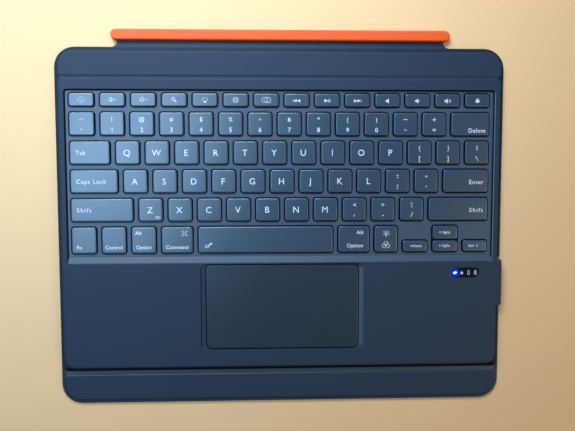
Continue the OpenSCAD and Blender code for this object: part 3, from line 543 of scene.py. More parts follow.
# Painted highlight on the recess's right ledge.
second_finish(body_cover, painted_highlight_skin, lambda c, n: inside(
    c, (PAD_HOLE + 0.1, ledge + 0.1), along_pad, (5.55, 6.19)))
# Painted shade on the key well's right wall below its lip.
second_finish(body_cover, painted_shade_skin, lambda c, n: n.z < 0.9 and inside(
    c, (WELL_HALF - 1, WELL_HALF), (RAMP_FOOT, WELL_REAR), (WEB_TOP, 5.8)))
# Painted highlight on the ramp down to the key web, which faces the light.
second_finish(body_cover, painted_highlight_skin, lambda c, n: n.y > 0.3 and inside(
    c, y=(RAMP_TOP, RAMP_FOOT), z=(WEB_TOP, 6.1)))
# Painted highlight on the right lip of the key well.
second_finish(body_cover, strong_highlight_skin, lambda c, n: 0.2 < n.z < 0.995 and inside(
    c, (WELL_HALF - 0.12, WELL_HALF + 0.3), (RAMP_TOP, WELL_REAR), (5.85, 10)))

# %% [markdown]
# ## The rear strip and the laminate
# Behind the key well the cover dips into a crease, and rises again over a stiff strip. Both
# panels stand on one sheet of laminate, two skins pressed together, which shows as a narrow
# flange. The real sheet bends at the crease; here it is one piece, cut into fine strips there.

# %% The rear strip's cover
strip_plan = rounded(-BODY_HALF, BODY_HALF, REAR_CREASE + CREASE_GAP, STRIP_REAR, 2.6, 10.0)
strip_rings = soft_edge(strip_plan, PANEL_FOOT, BODY_TOP, EDGE_LEAN, EDGE_R,
                        support=0.6, foot=-0.4)
solid_piece("strip_cover", strip_rings, "rear_strip", leatherette, "skin", "strip_skin")

# %% Sheets cut into strips across a fold
BEND_STEPS = 12
ROUND_STEPS = 3  # a sheet's thin edge needs no more


def cut_across(outline, depths):
    """The outline with extra points where its sides cross these depths."""
    result = []
    n = len(outline)
    for i in range(n):
        (ax, ay), (bx, by) = outline[i], outline[(i + 1) % n]
        result.append((ax, ay))
        found = [d for d in depths if min(ay, by) + 1e-6 < d < max(ay, by) - 1e-6]
        for d in sorted(found, reverse=by < ay):
            t = (d - ay) / (by - ay)
            result.append((ax + t * (bx - ax), d))
    return result


def sheet_solid(name, outline, z0, z1, r, depths):
    """A sheet with rounded edges whose flat faces are cut into strips at these depths."""
    build = Build()
    outline = cut_across(outline, depths)
    turns = [math.radians(90 * i / ROUND_STEPS) for i in range(ROUND_STEPS + 1)]
    half = [(r * (1 - math.cos(a)), r * math.sin(a)) for a in turns]
    rings = [ring(inset(outline, d), z0 + r - h) for d, h in reversed(half)]
    rings += [ring(inset(outline, d), z1 - r + h) for d, h in half]
    build.solid(rings)
    obj = build.make(name)

    def cut(bm):
        for d in depths:
            bmesh.ops.bisect_plane(bm, geom=bm.verts[:] + bm.edges[:] + bm.faces[:],
                                   dist=1e-8, plane_co=at(d, 0), plane_no=(0, 1, 0))

    edit(obj.data, cut)
    soften(obj.data, 35)
    return obj


def at(y, z=LAMINATE / 2):
    """A point of the frame, in metres, from a depth and a height in millimetres."""
    return (0, (y - MIDDLE) * MM, z * MM)


def steps_between(a, b, n=BEND_STEPS):
    """Evenly spaced depths, both ends included."""
    return [a + (b - a) * i / n for i in range(n + 1)]


print("a bend is cut at", len(steps_between(0, 1)), "depths")

# %% The laminate under the body and the strip
NOTCH, NOTCH_FLARE = 0.3, 1.2  # the gaps beside the port block
SHEET_R = 0.45
CREASE_REACH = 2.2
crease = (REAR_CREASE - CREASE_REACH, REAR_CREASE + CREASE_REACH)
plan = rounded(-DECK_HALF, DECK_HALF, SKIN_SPLIT, DECK_REAR, 0.3, DECK_R)
beside = [(DECK_HALF, NOTCH + NOTCH_FLARE), (DECK_HALF - NOTCH_FLARE, NOTCH),
          (BODY_HALF - 0.05, NOTCH)]
notch = [(x, PORT_FRONT - gap) for x, gap in beside]
notch += [(x, PORT_REAR + gap) for x, gap in reversed(beside)]
half_way = 2 * (CORNER_STEPS + 1)
laminate = sheet_solid("laminate_sheet", plan[:half_way] + notch + plan[half_way:], 0, LAMINATE,
                       SHEET_R, steps_between(*crease))
finish_piece(laminate, None, flange_skin, "skin", "lower_skin")
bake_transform(laminate)

# %% Bands across the creases
BAND_FOOT = LAMINATE - 0.3


def crease_band(name, half_width, front, rear, heights, material, a, b):
    """A soft band across a fold, with its height at each step from front to rear."""
    band = Build()
    profile = list(zip(steps_between(front, rear, len(heights) - 1), heights))
    section = profile + [(y, BAND_FOOT) for y, z in reversed(profile)]
    left, right = (band.add_ring([(x, y, z) for y, z in section])
                   for x in (-half_width, half_width))
    n = len(section)
    for i in range(n):
        j = (i + 1) % n
        band.faces.append((left[i], right[i], right[j], left[j]))
    for loop in (left, right):
        for i in range(n // 2 - 1):
            band.faces.append((loop[i], loop[i + 1], loop[n - 2 - i], loop[n - 1 - i]))
    obj = band.make(name, smooth=60)
    edit(obj.data, lambda bm: bmesh.ops.recalc_face_normals(bm, faces=bm.faces))
    finish_piece(obj, None, material, "skin")
    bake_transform(obj)
    return obj


VALLEY = 5.75
valley = [VALLEY + 0.2 * min((abs(t) / 8) ** 2, 1) for t in range(-12, 13)]
crease_band("rear_crease_skin", BODY_HALF - 1.5, *crease, valley, leatherette,
            "deck", "rear_strip")

# %% [markdown]
# ## The front flap
# The front flap is the same laminate with a thin stiff panel inside. It folds up over the
# tablet's edge or down under the body, so the sheet runs back to the body's foot and is cut
# fine across the fold. Two sheets would tear apart at the fold, so it is one.

# %% The front flap
FLAP_BEND = 1.3
PANEL_IN = 2.2  # the panel stays this far inside the flap's edge
PANEL_TOP = 2.3
flap_crease = (FRONT_CREASE - FLAP_BEND, FRONT_CREASE + FLAP_BEND)
flap_sheet = sheet_solid("front_flap_sheet",
                         rounded(-DECK_HALF, DECK_HALF, 0, SKIN_SPLIT, DECK_R, 0.3),
                         0, LAMINATE, SHEET_R, steps_between(*flap_crease))
finish_piece(flap_sheet, None, leatherette, "skin")
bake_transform(flap_sheet)
panel_plan = rounded(-DECK_HALF + PANEL_IN, DECK_HALF - PANEL_IN,
                     PANEL_IN, FRONT_CREASE - PANEL_IN, 10.8, 1.5)
panel_rings = soft_edge(panel_plan, PANEL_FOOT, PANEL_TOP, 0.1, 0.7, support=0.5, foot=-0.3)
flap_panel = solid_piece("front_flap_panel", panel_rings, "front_flap", leatherette, "skin",
                         "closure_skin")
# Painted highlight on the panel's rounded rear edge, which faces the light.
second_finish(flap_panel, painted_highlight_skin,
              lambda c, n: n.z < 0.97 and c.z > 1.9 and c.y > FRONT_CREASE - 3.6)
# The band across the front crease is in the paler skin: a painted highlight.
band_heights = [LAMINATE + 0.05] + [LAMINATE + 0.65] * 11 + [LAMINATE + 0.05]
front_band = crease_band("front_crease_skin", DECK_HALF - 3.0, FRONT_CREASE - 2.5,
                         FRONT_CREASE + 2.4, band_heights, painted_highlight_skin, "front_flap", "deck")
# Painted shadow of the body on the band's rear end.
second_finish(front_band, painted_shade_skin, lambda c, n: c.y > FRONT_CREASE + 0.2)

# %% [markdown]
# ## The hinge flap and the docking rail
# A short flap of bare laminate joins the folio to a rail. Its ends run out in hollow curves.
# It crosses two folds, so it is made of two sheets that meet in its middle.

# %% The hinge flap
FLAP_HALF = 104.1
FLAP_LOW, FLAP_TOP = 0.12, 1.28
FLAP_TURN = 0.8  # half the length of each bend
flap_reach = RAIL_FRONT - DECK_REAR
flap_middle = (DECK_REAR + RAIL_FRONT) / 2


def flap_half_width(y):
    """Half the flap's width at a depth: a hollow quarter round at each end."""
    left = flap_reach - min(max(y - DECK_REAR, 0), flap_reach)
    return FLAP_HALF + flap_reach - math.sqrt(max(flap_reach ** 2 - left ** 2, 0))


def flap_outline(y0, y1):
    """One of the flap's two sheets, anticlockwise."""
    right_side = [(flap_half_width(y), y) for y in steps_between(y0, y1, 10)]
    return right_side + [(-x, y) for x, y in reversed(right_side)]


for name, y0, y1, a, b, fold, nodes in (
    ("hinge_flap_front", DECK_REAR - 1.2, flap_middle, "rear_strip", "flap",
     DECK_REAR + 0.1, ()),
    ("hinge_flap_rear", flap_middle, RAIL_FRONT + 0.8, "flap", "docking_rail",
     RAIL_FRONT - 0.75, ("hinge_flap",)),
):
    bend = (fold - FLAP_TURN, fold + FLAP_TURN)
    half_flap = sheet_solid(name, flap_outline(y0, y1), FLAP_LOW, FLAP_TOP, 0.2,
                            steps_between(*bend, 6))
    finish_piece(half_flap, None, leatherette, "skin", *nodes)
    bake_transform(half_flap)

# %% The docking rail
RAIL_HALF, RAIL_R = 107.9, 3.35
RAIL_LOW, RAIL_TOP = 0.8, 4.0
rail_plan = rounded(-RAIL_HALF, RAIL_HALF, RAIL_FRONT, FOLIO_REAR, RAIL_R, RAIL_R, 12)
rail_rings = soft_edge(rail_plan, RAIL_LOW, RAIL_TOP, 0.08, 1.0, steps=7, support=0.35)
solid_piece("rail_cover_soft", rail_rings, "docking_rail", rail_rubber, "rail_plastic",
            "rail_cover", smooth=50)

# %% [markdown]
# ## Keycaps
# Forty-five of the letter and symbol caps share one size, and the fourteen of the function
# row are alike to a hundredth of a millimetre. One cap is modelled for each size, and Geometry
# Nodes repeat it at points, one point to a key. The result is turned to a plain mesh for each
# group of keys that moves together.

# %% The key grid
PITCH, ROW_PITCH, ROW_UNITS = 18.65, 18.2, 14.552
CELL = 3.5  # the web's bar between two caps
NUMBER_BAR = 190.7  # depth of the bar behind the number row
GRID_SHIFT, GRID_HALF = -0.38, 135.7
GRID_LEFT = GRID_SHIFT - GRID_HALF
FIRST = [1.04, 1.54, 1.79, 2.29]  # where the second key of each row starts, in units
COUNTS = [14, 14, 13, 12]
BOTTOM = [0, 1.023, 2.031, 3.05, 4.305, 9.141, 10.406, 11.398, 12.444, 13.511]
BOTTOM_D, FUNCTION_D, LOW_ARROW_D, HIGH_ARROW_START = 17, 8.5, 7.4, 8.1
CAP_LOW, CAP_TOP = 4.1, 6.1


def grid_x(u):
    """The left-right place of a grid line, from its units."""
    return GRID_LEFT + round(u * PITCH, 2)


def cap_in(u0, u1, front, rear):
    """A cap's left, right, front and rear, inside its cell of the web."""
    return grid_x(u0) + CELL / 2, grid_x(u1) - CELL / 2, front + CELL / 2, rear - CELL / 2


def main_cap(row, i):
    """A cap of the four main rows; the first and the last fill up the row."""
    u0 = 0 if i == 0 else FIRST[row] + i - 1
    u1 = ROW_UNITS if i == COUNTS[row] - 1 else FIRST[row] + i
    return cap_in(u0, u1, NUMBER_BAR - (row + 1) * ROW_PITCH, NUMBER_BAR - row * ROW_PITCH)


def bottom_cap(i):
    u1 = ROW_UNITS if i == len(BOTTOM) - 1 else BOTTOM[i + 1]
    bar = NUMBER_BAR - 4 * ROW_PITCH
    return cap_in(BOTTOM[i], u1, bar - BOTTOM_D - CELL, bar)


def function_cap(i):
    u0, u1 = i * ROW_UNITS / 14, (i + 1) * ROW_UNITS / 14
    return cap_in(u0, u1, NUMBER_BAR, NUMBER_BAR + FUNCTION_D + CELL)


def low_cap(i):
    """A cap of the front half of the bottom row, where three arrows are."""
    x0, x1, y0, y1 = bottom_cap(i)
    return x0, x1, y0, y0 + LOW_ARROW_D


def high_cap(i):
    """A cap of the rear half of the bottom row, for the up arrow."""
    x0, x1, y0, y1 = bottom_cap(i)
    return x0, x1, y0 + HIGH_ARROW_START, y1


def middle(cap):
    return (cap[0] + cap[1]) / 2, (cap[2] + cap[3]) / 2


def size_of(cap):
    """Width and depth, rounded so that caps of one kind share a model."""
    return round(cap[1] - cap[0], 2), round(cap[3] - cap[2], 2)


print("letter cap", size_of(main_cap(1, 3)), "mm")

# %% One cap
CAP_WALL = 0.9
# How far in the outline stands at each height of the rounded rim.
CAP_RIM = [(0.12, 5.55), (0.17, 5.72), (0.28, 5.9), (0.46, 6.03), (0.7, 6.09), (1.0, CAP_TOP)]


def cap_mesh(name, width, depth):
    """One hollow cap round the origin: skirt, soft rim, flat top and a hollow below."""
    plan = rounded(-width / 2, width / 2, MIDDLE - depth / 2, MIDDLE + depth / 2, 1.7, 1.7, 5)
    hollow = inset(plan, CAP_WALL)
    rings = [ring(hollow, CAP_TOP - CAP_WALL), ring(hollow, CAP_LOW), ring(plan, CAP_LOW)]
    rings += [ring(inset(plan, d), z) for d, z in CAP_RIM]
    cap = Build()
    cap.solid(rings)
    obj = cap.make(name, smooth=40)
    bpy.context.scene.collection.objects.unlink(obj)
    return obj


print("a cap's wall is", CAP_WALL, "mm, its rim has", len(CAP_RIM), "rings")

# %% Caps at points
def repeater(name, material):
    """A tree that puts one cap at every point of a mesh. Its inputs are the cap and the lift."""
    tree = bpy.data.node_groups.new(name, "GeometryNodeTree")
    for label, way, kind in (("Key places", "INPUT", "Geometry"), ("Cap", "INPUT", "Object"),
                             ("Lift", "INPUT", "Float"), ("Caps", "OUTPUT", "Geometry")):
        tree.interface.new_socket(label, in_out=way, socket_type="NodeSocket" + kind)
    start = add(tree, "NodeGroupInput")
    info = add(tree, "GeometryNodeObjectInfo", {"transform_space": "ORIGINAL"}, {},
               {"Object": start.outputs["Cap"]})
    lift = add(tree, "ShaderNodeCombineXYZ", {}, {}, {"Z": start.outputs["Lift"]})
    lifted = add(tree, "GeometryNodeSetPosition", {}, {},
                 {"Geometry": start.outputs["Key places"], "Offset": lift.outputs["Vector"]})
    copies = add(tree, "GeometryNodeInstanceOnPoints", {}, {},
                 {"Points": lifted.outputs["Geometry"], "Instance": info.outputs["Geometry"]})
    real = add(tree, "GeometryNodeRealizeInstances", {}, {},
               {"Geometry": copies.outputs["Instances"]})
    paint = add(tree, "GeometryNodeSetMaterial", {}, {"Material": material},
                {"Geometry": real.outputs["Geometry"]})
    add(tree, "NodeGroupOutput", {}, {}, {"Caps": paint.outputs["Geometry"]})
    return tree


cap_repeater = repeater("caps_at_key_places", cap_abs)
sockets = {s.name: s.identifier for s in cap_repeater.interface.items_tree
           if s.in_out == "INPUT"}
cap_kinds = {}


def caps_at(name, caps):
    """One mesh with a cap at each of these places; caps of one size share one model."""
    bm = bmesh.new()
    for size in sorted({size_of(cap) for cap in caps}):
        if size not in cap_kinds:
            cap_kinds[size] = cap_mesh("cap_{}x{}".format(*size), *size)
        middles = [middle(cap) for cap in caps if size_of(cap) == size]
        places = bpy.data.meshes.new(name + "_places")
        places.from_pydata([(x * MM, (y - MIDDLE) * MM, 0) for x, y in middles], [], [])
        holder = new_object(name + "_holder", places)
        mod = holder.modifiers.new("caps", "NODES")
        mod.node_group = cap_repeater
        mod[sockets["Cap"]] = cap_kinds[size]
        mod[sockets["Lift"]] = 0.0
        bm.from_mesh(plain_mesh(holder))
    mesh = bpy.data.meshes.new(name)
    bm.to_mesh(mesh)
    bm.free()
    soften(mesh, 40)
    return new_object(name, mesh)


print("sockets", sockets)

# %% Groups of keys that move together
SINGLE = {
    "space_key": ("space_bar", bottom_cap(4)), "enter_key": ("enter", main_cap(2, 12)),
    "delete_key": ("delete", main_cap(0, 13)), "tab_key": ("tab", main_cap(1, 0)),
    "caps_lock_key": ("caps_lock", main_cap(2, 0)),
    "left_shift_key": ("left_shift", main_cap(3, 0)),
    "right_shift_key": ("right_shift", main_cap(3, 11)),
    "left_arrow_key": ("left_arrow", low_cap(7)),
    "right_arrow_key": ("right_arrow", low_cap(9)), "up_arrow_key": ("up_arrow", high_cap(8)),
    "down_arrow_key": ("down_arrow", low_cap(8)),
}
groups = {node: (body, [cap]) for node, (body, cap) in SINGLE.items()}
groups["left_modifier_keys"] = ("left_modifier", [bottom_cap(i) for i in range(4)])
groups["right_modifier_keys"] = ("right_modifier", [bottom_cap(i) for i in (5, 6)])
for k in range(1, 11):
    groups[f"key_column_{k}"] = (f"finger_column_{k}", [main_cap(row, k) for row in range(4)])
groups["symbol_keys_top"] = ("symbol_top_group", [main_cap(0, i) for i in (0, 11, 12)])
groups["symbol_keys_side"] = ("symbol_side_group",
                              [*(main_cap(1, i) for i in (11, 12, 13)), main_cap(2, 11)])
groups["system_keys"] = ("system", [function_cap(i) for i in range(7)])
groups["media_keys"] = ("media", [function_cap(i) for i in range(7, 14)])
# Painted highlight on the soft rim round each cap's top, and painted shade on its skirt,
# which lies in the dark gap.
for node, (body, caps) in groups.items():
    piece = finish_piece(caps_at(node + "_caps", caps), body, cap_abs, "keycap", node)
    second_finish(piece, rim_highlight_abs, lambda c, n: c.z > CAP_TOP - 0.42 and 0.25 < n.z < 0.985)
    second_finish(piece, skirt_shade_abs, lambda c, n: n.z <= 0.25)
print(sum(len(caps) for body, caps in groups.values()), "keys in", len(groups), "groups")

# %% [markdown]
# ## Legends
# Real legends are pad-printed in white ink, a few hundredths of a millimetre thick. Words and
# letters come from Blender's plain built-in font, and signs are drawn from short strokes,
# discs and rings. All legends on one group of keys are one mesh that rides with that group.

# %% Ink strokes and letters
INK = 0.03  # half the print's thickness, and how deep it reaches into the cap
CAPITAL = 0.70  # the height of a capital, as a share of the font's size


class Ink(Build):
    """Prints on top of a key, placed from a centre that can be moved."""

    centre = (0, 0)

    def prism(self, loop):
        """A flat shape with the thickness of ink."""
        cx, cy = self.centre
        loop = [(cx + x, cy + y) for x, y in loop]
        self.solid([ring(loop, CAP_TOP - INK), ring(loop, CAP_TOP + INK)])

    def line(self, x0, y0, x1, y1, w=0.32):
        """A straight stroke with square ends."""
        d = Vector((x1 - x0, y1 - y0)).normalized() * (w / 2)
        nx, ny = -d.y, d.x
        self.prism([(x0 - nx - d.x, y0 - ny - d.y), (x1 - nx + d.x, y1 - ny + d.y),
                    (x1 + nx + d.x, y1 + ny + d.y), (x0 + nx - d.x, y0 + ny - d.y)])

    def path(self, w, *points):
        """Strokes of one width from point to point."""
        for a, b in zip(points, points[1:]):
            self.line(*a, *b, w)

    def disc(self, x, y, r, n=14):
        turns = [2 * math.pi * i / n for i in range(n)]
        self.prism([(x + r * math.cos(a), y + r * math.sin(a)) for a in turns])

    def arc(self, x, y, r, a0, a1, w=0.3, n=14, squash=1.0):
        """A stroke along an arc, from one angle to another in degrees."""
        outer, inner = [], []
        for i in range(n + 1):
            a = math.radians(a0 + (a1 - a0) * i / n)
            outer.append((x + (r * squash + w / 2) * math.cos(a), y + (r + w / 2) * math.sin(a)))
            inner.append((x + (r * squash - w / 2) * math.cos(a), y + (r - w / 2) * math.sin(a)))
        for i in range(n):
            self.prism([inner[i], outer[i], outer[i + 1], inner[i + 1]])

    def word(self, text, x, y, height, align="CENTER", bold=0.035, spread=1.0):
        """Text whose capitals are this many millimetres high, with its middle at y."""
        x, y = x + self.centre[0], y + self.centre[1]
        curve = bpy.data.curves.new("word", "FONT")
        curve.body = text
        curve.size = height / CAPITAL
        curve.align_x = align
        curve.offset = bold
        curve.space_character = spread
        curve.resolution_u = 3
        mesh = plain_mesh(new_object("word", curve))
        bm = bmesh.new()
        bm.from_mesh(mesh)
        bmesh.ops.remove_doubles(bm, verts=bm.verts, dist=1e-5)
        for v in bm.verts:
            v.co = (v.co.x + x, v.co.y + y - height / 2, CAP_TOP - INK)
        made = bmesh.ops.extrude_face_region(bm, geom=bm.faces[:])
        for v in made["geom"]:
            if isinstance(v, bmesh.types.BMVert):
                v.co.z = CAP_TOP + INK
        bmesh.ops.recalc_face_normals(bm, faces=bm.faces)
        start = len(self.points)
        self.points.extend((v.co.x, v.co.y, v.co.z) for v in bm.verts)
        self.faces.extend(tuple(start + v.index for v in f.verts) for f in bm.faces)
        bm.free()
        bpy.data.meshes.remove(mesh)

    def sun(self, x, y, r, rays):
        self.arc(x, y, r * 0.62, 0, 360, 0.28, 20)
        for i in range(rays):
            a = 2 * math.pi * (i + 0.5) / rays
            c, s = math.cos(a), math.sin(a)
            self.line(x + r * 0.95 * c, y + r * 0.95 * s, x + r * c, y + r * s, 0.3)

    def arrow(self, x, y, size, angle):
        """A solid triangle that points at this angle."""
        pts = []
        for turn, far in ((0, 1.0), (130, 0.95), (-130, 0.95)):
            a = math.radians(angle + turn)
            pts.append((x + size * far * math.cos(a), y + size * far * math.sin(a)))
        self.prism(pts)

    def box(self, w, h, stroke, corner=0.3):
        """A rounded frame round the centre."""
        plan = rounded(-w / 2, w / 2, -h / 2, h / 2, corner, corner, 2)
        self.path(stroke, *plan, plan[0])

    def draw(self, x, y, sign):
        """A sign round this place. A sign is a list of shapes, each with its numbers."""
        self.centre = (x, y)
        for shape, *numbers in sign:
            getattr(self, shape)(*numbers)
        self.centre = (0, 0)


print("ink stands", INK, "mm proud of a key")

# %% Signs of the function row
MEDIA_DROP = 0.4  # the signs of the media keys sit a little low


def speaker(x, waves):
    upper = [(x + 0.3, 1.65), (x - 0.9, 0.6), (x - 1.7, 0.6)]
    return [("prism", [(u, -v) for u, v in reversed(upper)] + upper),
            *(("arc", x + 0.3, 0, 0.95 + 0.85 * i, -42, 42, 0.3) for i in range(waves))]


def padlock(s=1.15):
    return [("prism", rounded(-1.05 * s, 1.05 * s, -1.2 * s, 0.35 * s, 0.2, 0.2, 2)),
            ("arc", 0, 0.35 * s, 0.65 * s, 0, 180, 0.3 * s)]


# One sign for each key of the function row, from left to right.
SIGNS = [
    [("box", 3.3, 3.3, 0.2, 0.6), ("box", 1.3, 1.3, 0.12, 0.2)],  # home
    [("sun", -0.7, 0, 1.35, 8), ("line", 1.5, 0, 2.4, 0, 0.28)],  # darker
    [("sun", -0.7, 0, 1.5, 8), ("line", 1.5, 0, 2.4, 0, 0.28),
     ("line", 1.95, -0.45, 1.95, 0.45, 0.28)],  # brighter
    [("arc", -0.35, 0.35, 0.95, 0, 360, 0.34), ("line", 0.4, -0.4, 1.35, -1.35, 0.45)],  # search
    [("path", 0.24, (-0.9, -0.5), (-1.5, -0.5), (-1.5, 1.2), (1.5, 1.2), (1.5, -0.5),
      (0.9, -0.5)), ("prism", [(-1.1, -1.7), (1.1, -1.7), (0, -0.4)])],  # mirroring
    [("arc", 0, 0, 1.6, 0, 360, 0.24, 20), ("arc", 0, 0, 1.6, 0, 360, 0.16, 16, 0.45),
     ("line", -1.5, 0, 1.5, 0, 0.16),
     *(("line", -1.25, y, 1.25, y, 0.14) for y in (-0.8, 0.8))],  # language
    [("box", 5.4, 3.2, 0.24),
     *(("disc", 0.9 * i - 1.8, y, 0.18, 6) for i in range(5) for y in (0.75, 0)),
     ("line", -1.2, -0.8, 1.2, -0.8, 0.26)],  # keyboard on the screen
    [("arrow", -0.75, 0, 1.3, 180), ("arrow", 1.45, 0, 1.3, 180),
     ("line", -2.4, -0.9, -2.4, 0.9, 0.24)],  # back
    [("arrow", -0.9, 0, 1.4, 0),
     *(("line", x, -0.85, x, 0.85, 0.3) for x in (1.0, 1.75))],  # play and pause
    [("arrow", -1.45, 0, 1.3, 0), ("arrow", 0.75, 0, 1.3, 0),
     ("line", 2.4, -0.9, 2.4, 0.9, 0.24)],  # next
    speaker(0.5, 0), speaker(0, 1), speaker(-0.3, 2), padlock(),
]
print(len(SIGNS), "signs for the function row")

# %% Punctuation as strokes
THICK = 0.44


def dot(y, x=0):
    return "disc", x, y, 0.42, 10


def comma(y):
    return [dot(y), ("line", 0.1, y, -0.3, y - 0.8, 0.4)]


# Each mark's shapes, round the middle of its letter.
MARKS = {
    "_": [("line", -1.1, 0, 1.1, 0, THICK)], "-": [("line", -0.75, 0, 0.75, 0, THICK)],
    "+": [("line", -0.95, 0, 0.95, 0, THICK), ("line", 0, -0.95, 0, 0.95, THICK)],
    "=": [("line", -0.85, y, 0.85, y, THICK) for y in (0.42, -0.42)],
    ":": [dot(0.7), dot(-0.7)], ";": [dot(0.8), *comma(-0.5)], ".": [dot(-0.3)],
    ",": comma(-0.1), "'": [("line", 0, 0.5, 0, -0.3, 0.42)],
    '"': [("line", x, 0.4, x, -0.3, 0.4) for x in (-0.38, 0.38)],
    "`": [("line", -0.3, 0.4, 0.25, -0.2, 0.42)],
    "~": [("path", 0.3, (-1.0, -0.2), (-0.45, 0.25), (0.35, -0.2), (0.95, 0.25))],
    "|": [("line", 0, 1.3, 0, -1.3, 0.38)], "\\": [("line", -0.6, 1.25, 0.6, -1.25, 0.42)],
    "/": [("line", -0.55, -1.25, 0.55, 1.25, 0.42)],
    "!": [("line", 0, 1.2, 0, -0.3, 0.38), dot(-1.05)],
    "<": [("path", 0.4, (0.95, 0.75), (-0.9, 0), (0.95, -0.75))],
    ">": [("path", 0.4, (-0.95, 0.75), (0.9, 0), (-0.95, -0.75))],
    "^": [("path", 0.3, (-0.7, -0.5), (0, 0.55), (0.7, -0.5))],
    "1": [("path", 0.38, (-0.5, 0.75), (0.15, 1.25), (0.15, -1.3))],
    "I": [("line", 0, 1.75, 0, -1.75, 0.5)],
    "?": [("path", 0.4, (-0.8, 0.75), (-0.45, 1.3), (0.4, 1.3), (0.75, 0.75), (0.05, 0.05),
           (0.05, -0.4)), dot(-1.15, 0.05)],
}


def mark(ink, text, x, y, height):
    """Punctuation drawn as strokes, or else a letter."""
    ink.draw(x, y, MARKS.get(text, [("word", text, 0, 0, height)]))


print(len(MARKS), "marks drawn as strokes")

# %% Legends of the main rows
ROWS = [
    ["~`", "!1", "@2", "#3", "$4", "%5", "^6", "&7", "*8", "(9", ")0", "_-", "+=", None],
    [None, *"QWERTYUIOP", "{[", "}]", "|\\"],
    [None, *"ASDFGHJKL", ":;", "\"'", None],
    [None, *"ZXCVBNM", "<,", ">.", "?/", None],
]
LETTER_H, UPPER_H, LOWER_H, WORD_H = 3.9, 2.6, 2.9, 2.7
sheets = {node: Ink() for node in groups}


def group_of(cap):
    return next(node for node, (body, caps) in groups.items() if cap in caps)


for row, names in enumerate(ROWS):
    for i, text in enumerate(names):
        if text is None:
            continue
        cap = main_cap(row, i)
        ink = sheets[group_of(cap)]
        x, y = middle(cap)
        if len(text) == 1:
            mark(ink, text, x - 0.4, y, LETTER_H)
        else:
            mark(ink, text[0], x, y + 2.9, UPPER_H)
            mark(ink, text[1], x, y - 3.7, LOWER_H)
        if text == "Z":
            for dx in (3.9, 5.1):
                ink.arc(x + dx, y - 4.7, 0.55, 0, 360, 0.22, 12, squash=1.6)
# The bars on F and J that fingers find by touch are moulded, not printed.
for letter in "FJ":
    cap = main_cap(2, ROWS[2].index(letter))
    node = group_of(cap)
    x, y = middle(cap)
    bar = Ink()
    bar.line(x - 1.6, y - 4.6, x + 1.6, y - 4.6, 0.3)
    finish_piece(bar.make(node + "_touch_bar"), groups[node][0], dark_shell, "keycap")

# %% Words and signs
# Each word: the side it is set from, its distance from that side, how far it lies from the
# cap's middle, and the spacing of its letters.
WORDS = {
    "tab_key": ("Tab", "LEFT", 3.8, 0, 1.1),
    "caps_lock_key": ("Caps Lock", "LEFT", 3.8, 0, 1.16),
    "left_shift_key": ("Shift", "LEFT", 3.8, 0, 1.3),
    "right_shift_key": ("Shift", "RIGHT", 3.0, -0.7, 1.3),
    "enter_key": ("Enter", "RIGHT", 3.0, -0.7, 1.15),
    "delete_key": ("Delete", "RIGHT", 2.4, -4.0, 1.08),
}
for node, (text, side, margin, dy, spread) in WORDS.items():
    cap = groups[node][1][0]
    x = cap[0] + margin if side == "LEFT" else cap[1] - margin
    sheets[node].word(text, x, middle(cap)[1] + dy, WORD_H, side, spread=spread)
for i, sign in enumerate(SIGNS):
    cap = function_cap(i)
    x, y = middle(cap)
    drop = MEDIA_DROP if 7 <= i <= 12 else 0
    sheets[group_of(cap)].draw(x, y - drop, sign)
print(len(WORDS), "words and", len(SIGNS), "signs")

# %% Legends of the bottom row, left of the space bar
SMALL_H = 2.4
left_ink = sheets["left_modifier_keys"]
x0, x1, y0, y1 = bottom_cap(0)
left_ink.word("Fn", x0 + 3.2, y0 + 4.0, SMALL_H, "LEFT")
for i, text in ((1, "Control"), (2, "Option"), (3, "Command")):
    cap = bottom_cap(i)
    left_ink.word(text, middle(cap)[0], cap[2] + 4.0, SMALL_H)
x0, x1, y0, y1 = bottom_cap(2)
left_ink.word("Alt", x0 + 2.4, y1 - 3.8, SMALL_H, "LEFT")
# The looped square, from four rings and four lines.
x0, x1, y0, y1 = bottom_cap(3)
cx, cy = x1 - 5.2, y1 - 4.2
for side in (-1, 1):
    for end in (-1, 1):
        left_ink.arc(cx + 1.25 * side, cy + 1.25 * end, 0.5, 0, 360, 0.28, 10)
    left_ink.line(cx + 0.75 * side, cy - 1.3, cx + 0.75 * side, cy + 1.3, 0.28)
    left_ink.line(cx - 1.3, cy + 0.75 * side, cx + 1.3, cy + 0.75 * side, 0.28)
# A small lens with a thick handle.
space_ink = sheets["space_key"]
x0, x1, y0, y1 = bottom_cap(4)
space_ink.arc(x0 + 5.6, y0 + 4.3, 0.8, 0, 360, 0.4, 16, squash=1.5)
space_ink.line(x0 + 6.6, y0 + 4.9, x0 + 8.4, y0 + 6.2, 1.0)
print("left modifiers", len(left_ink.faces), "faces")

# %% Legends of the bottom row, right of the space bar
right_ink = sheets["right_modifier_keys"]
x0, x1, y0, y1 = bottom_cap(5)
for text, y in (("Alt", y1 - 4.0), ("Option", y0 + 4.4)):
    right_ink.word(text, x1 - 3.7, y, 2.5, "RIGHT", spread=1.05)
# The key for the key light: a bulb with five rays, above three rings that overlap.
x, y = middle(bottom_cap(6))
bulb = y + 3.3
right_ink.arc(x, bulb, 0.7, 0, 360, 0.36, 16)
right_ink.line(x - 0.3, y + 2.0, x + 0.3, y + 2.0, 0.4)
for i in range(5):
    a = math.radians(-5 + 190 * i / 4)
    c, s = math.cos(a), math.sin(a)
    right_ink.line(x + 1.55 * c, bulb + 1.55 * s, x + 2.2 * c, bulb + 2.2 * s, 0.34)
for dx, dy in ((-1.1, -0.6), (1.1, -0.6), (0, 0.9)):
    right_ink.arc(x + dx, y - 3.8 + dy, 1.35, 0, 360, 0.3, 18)
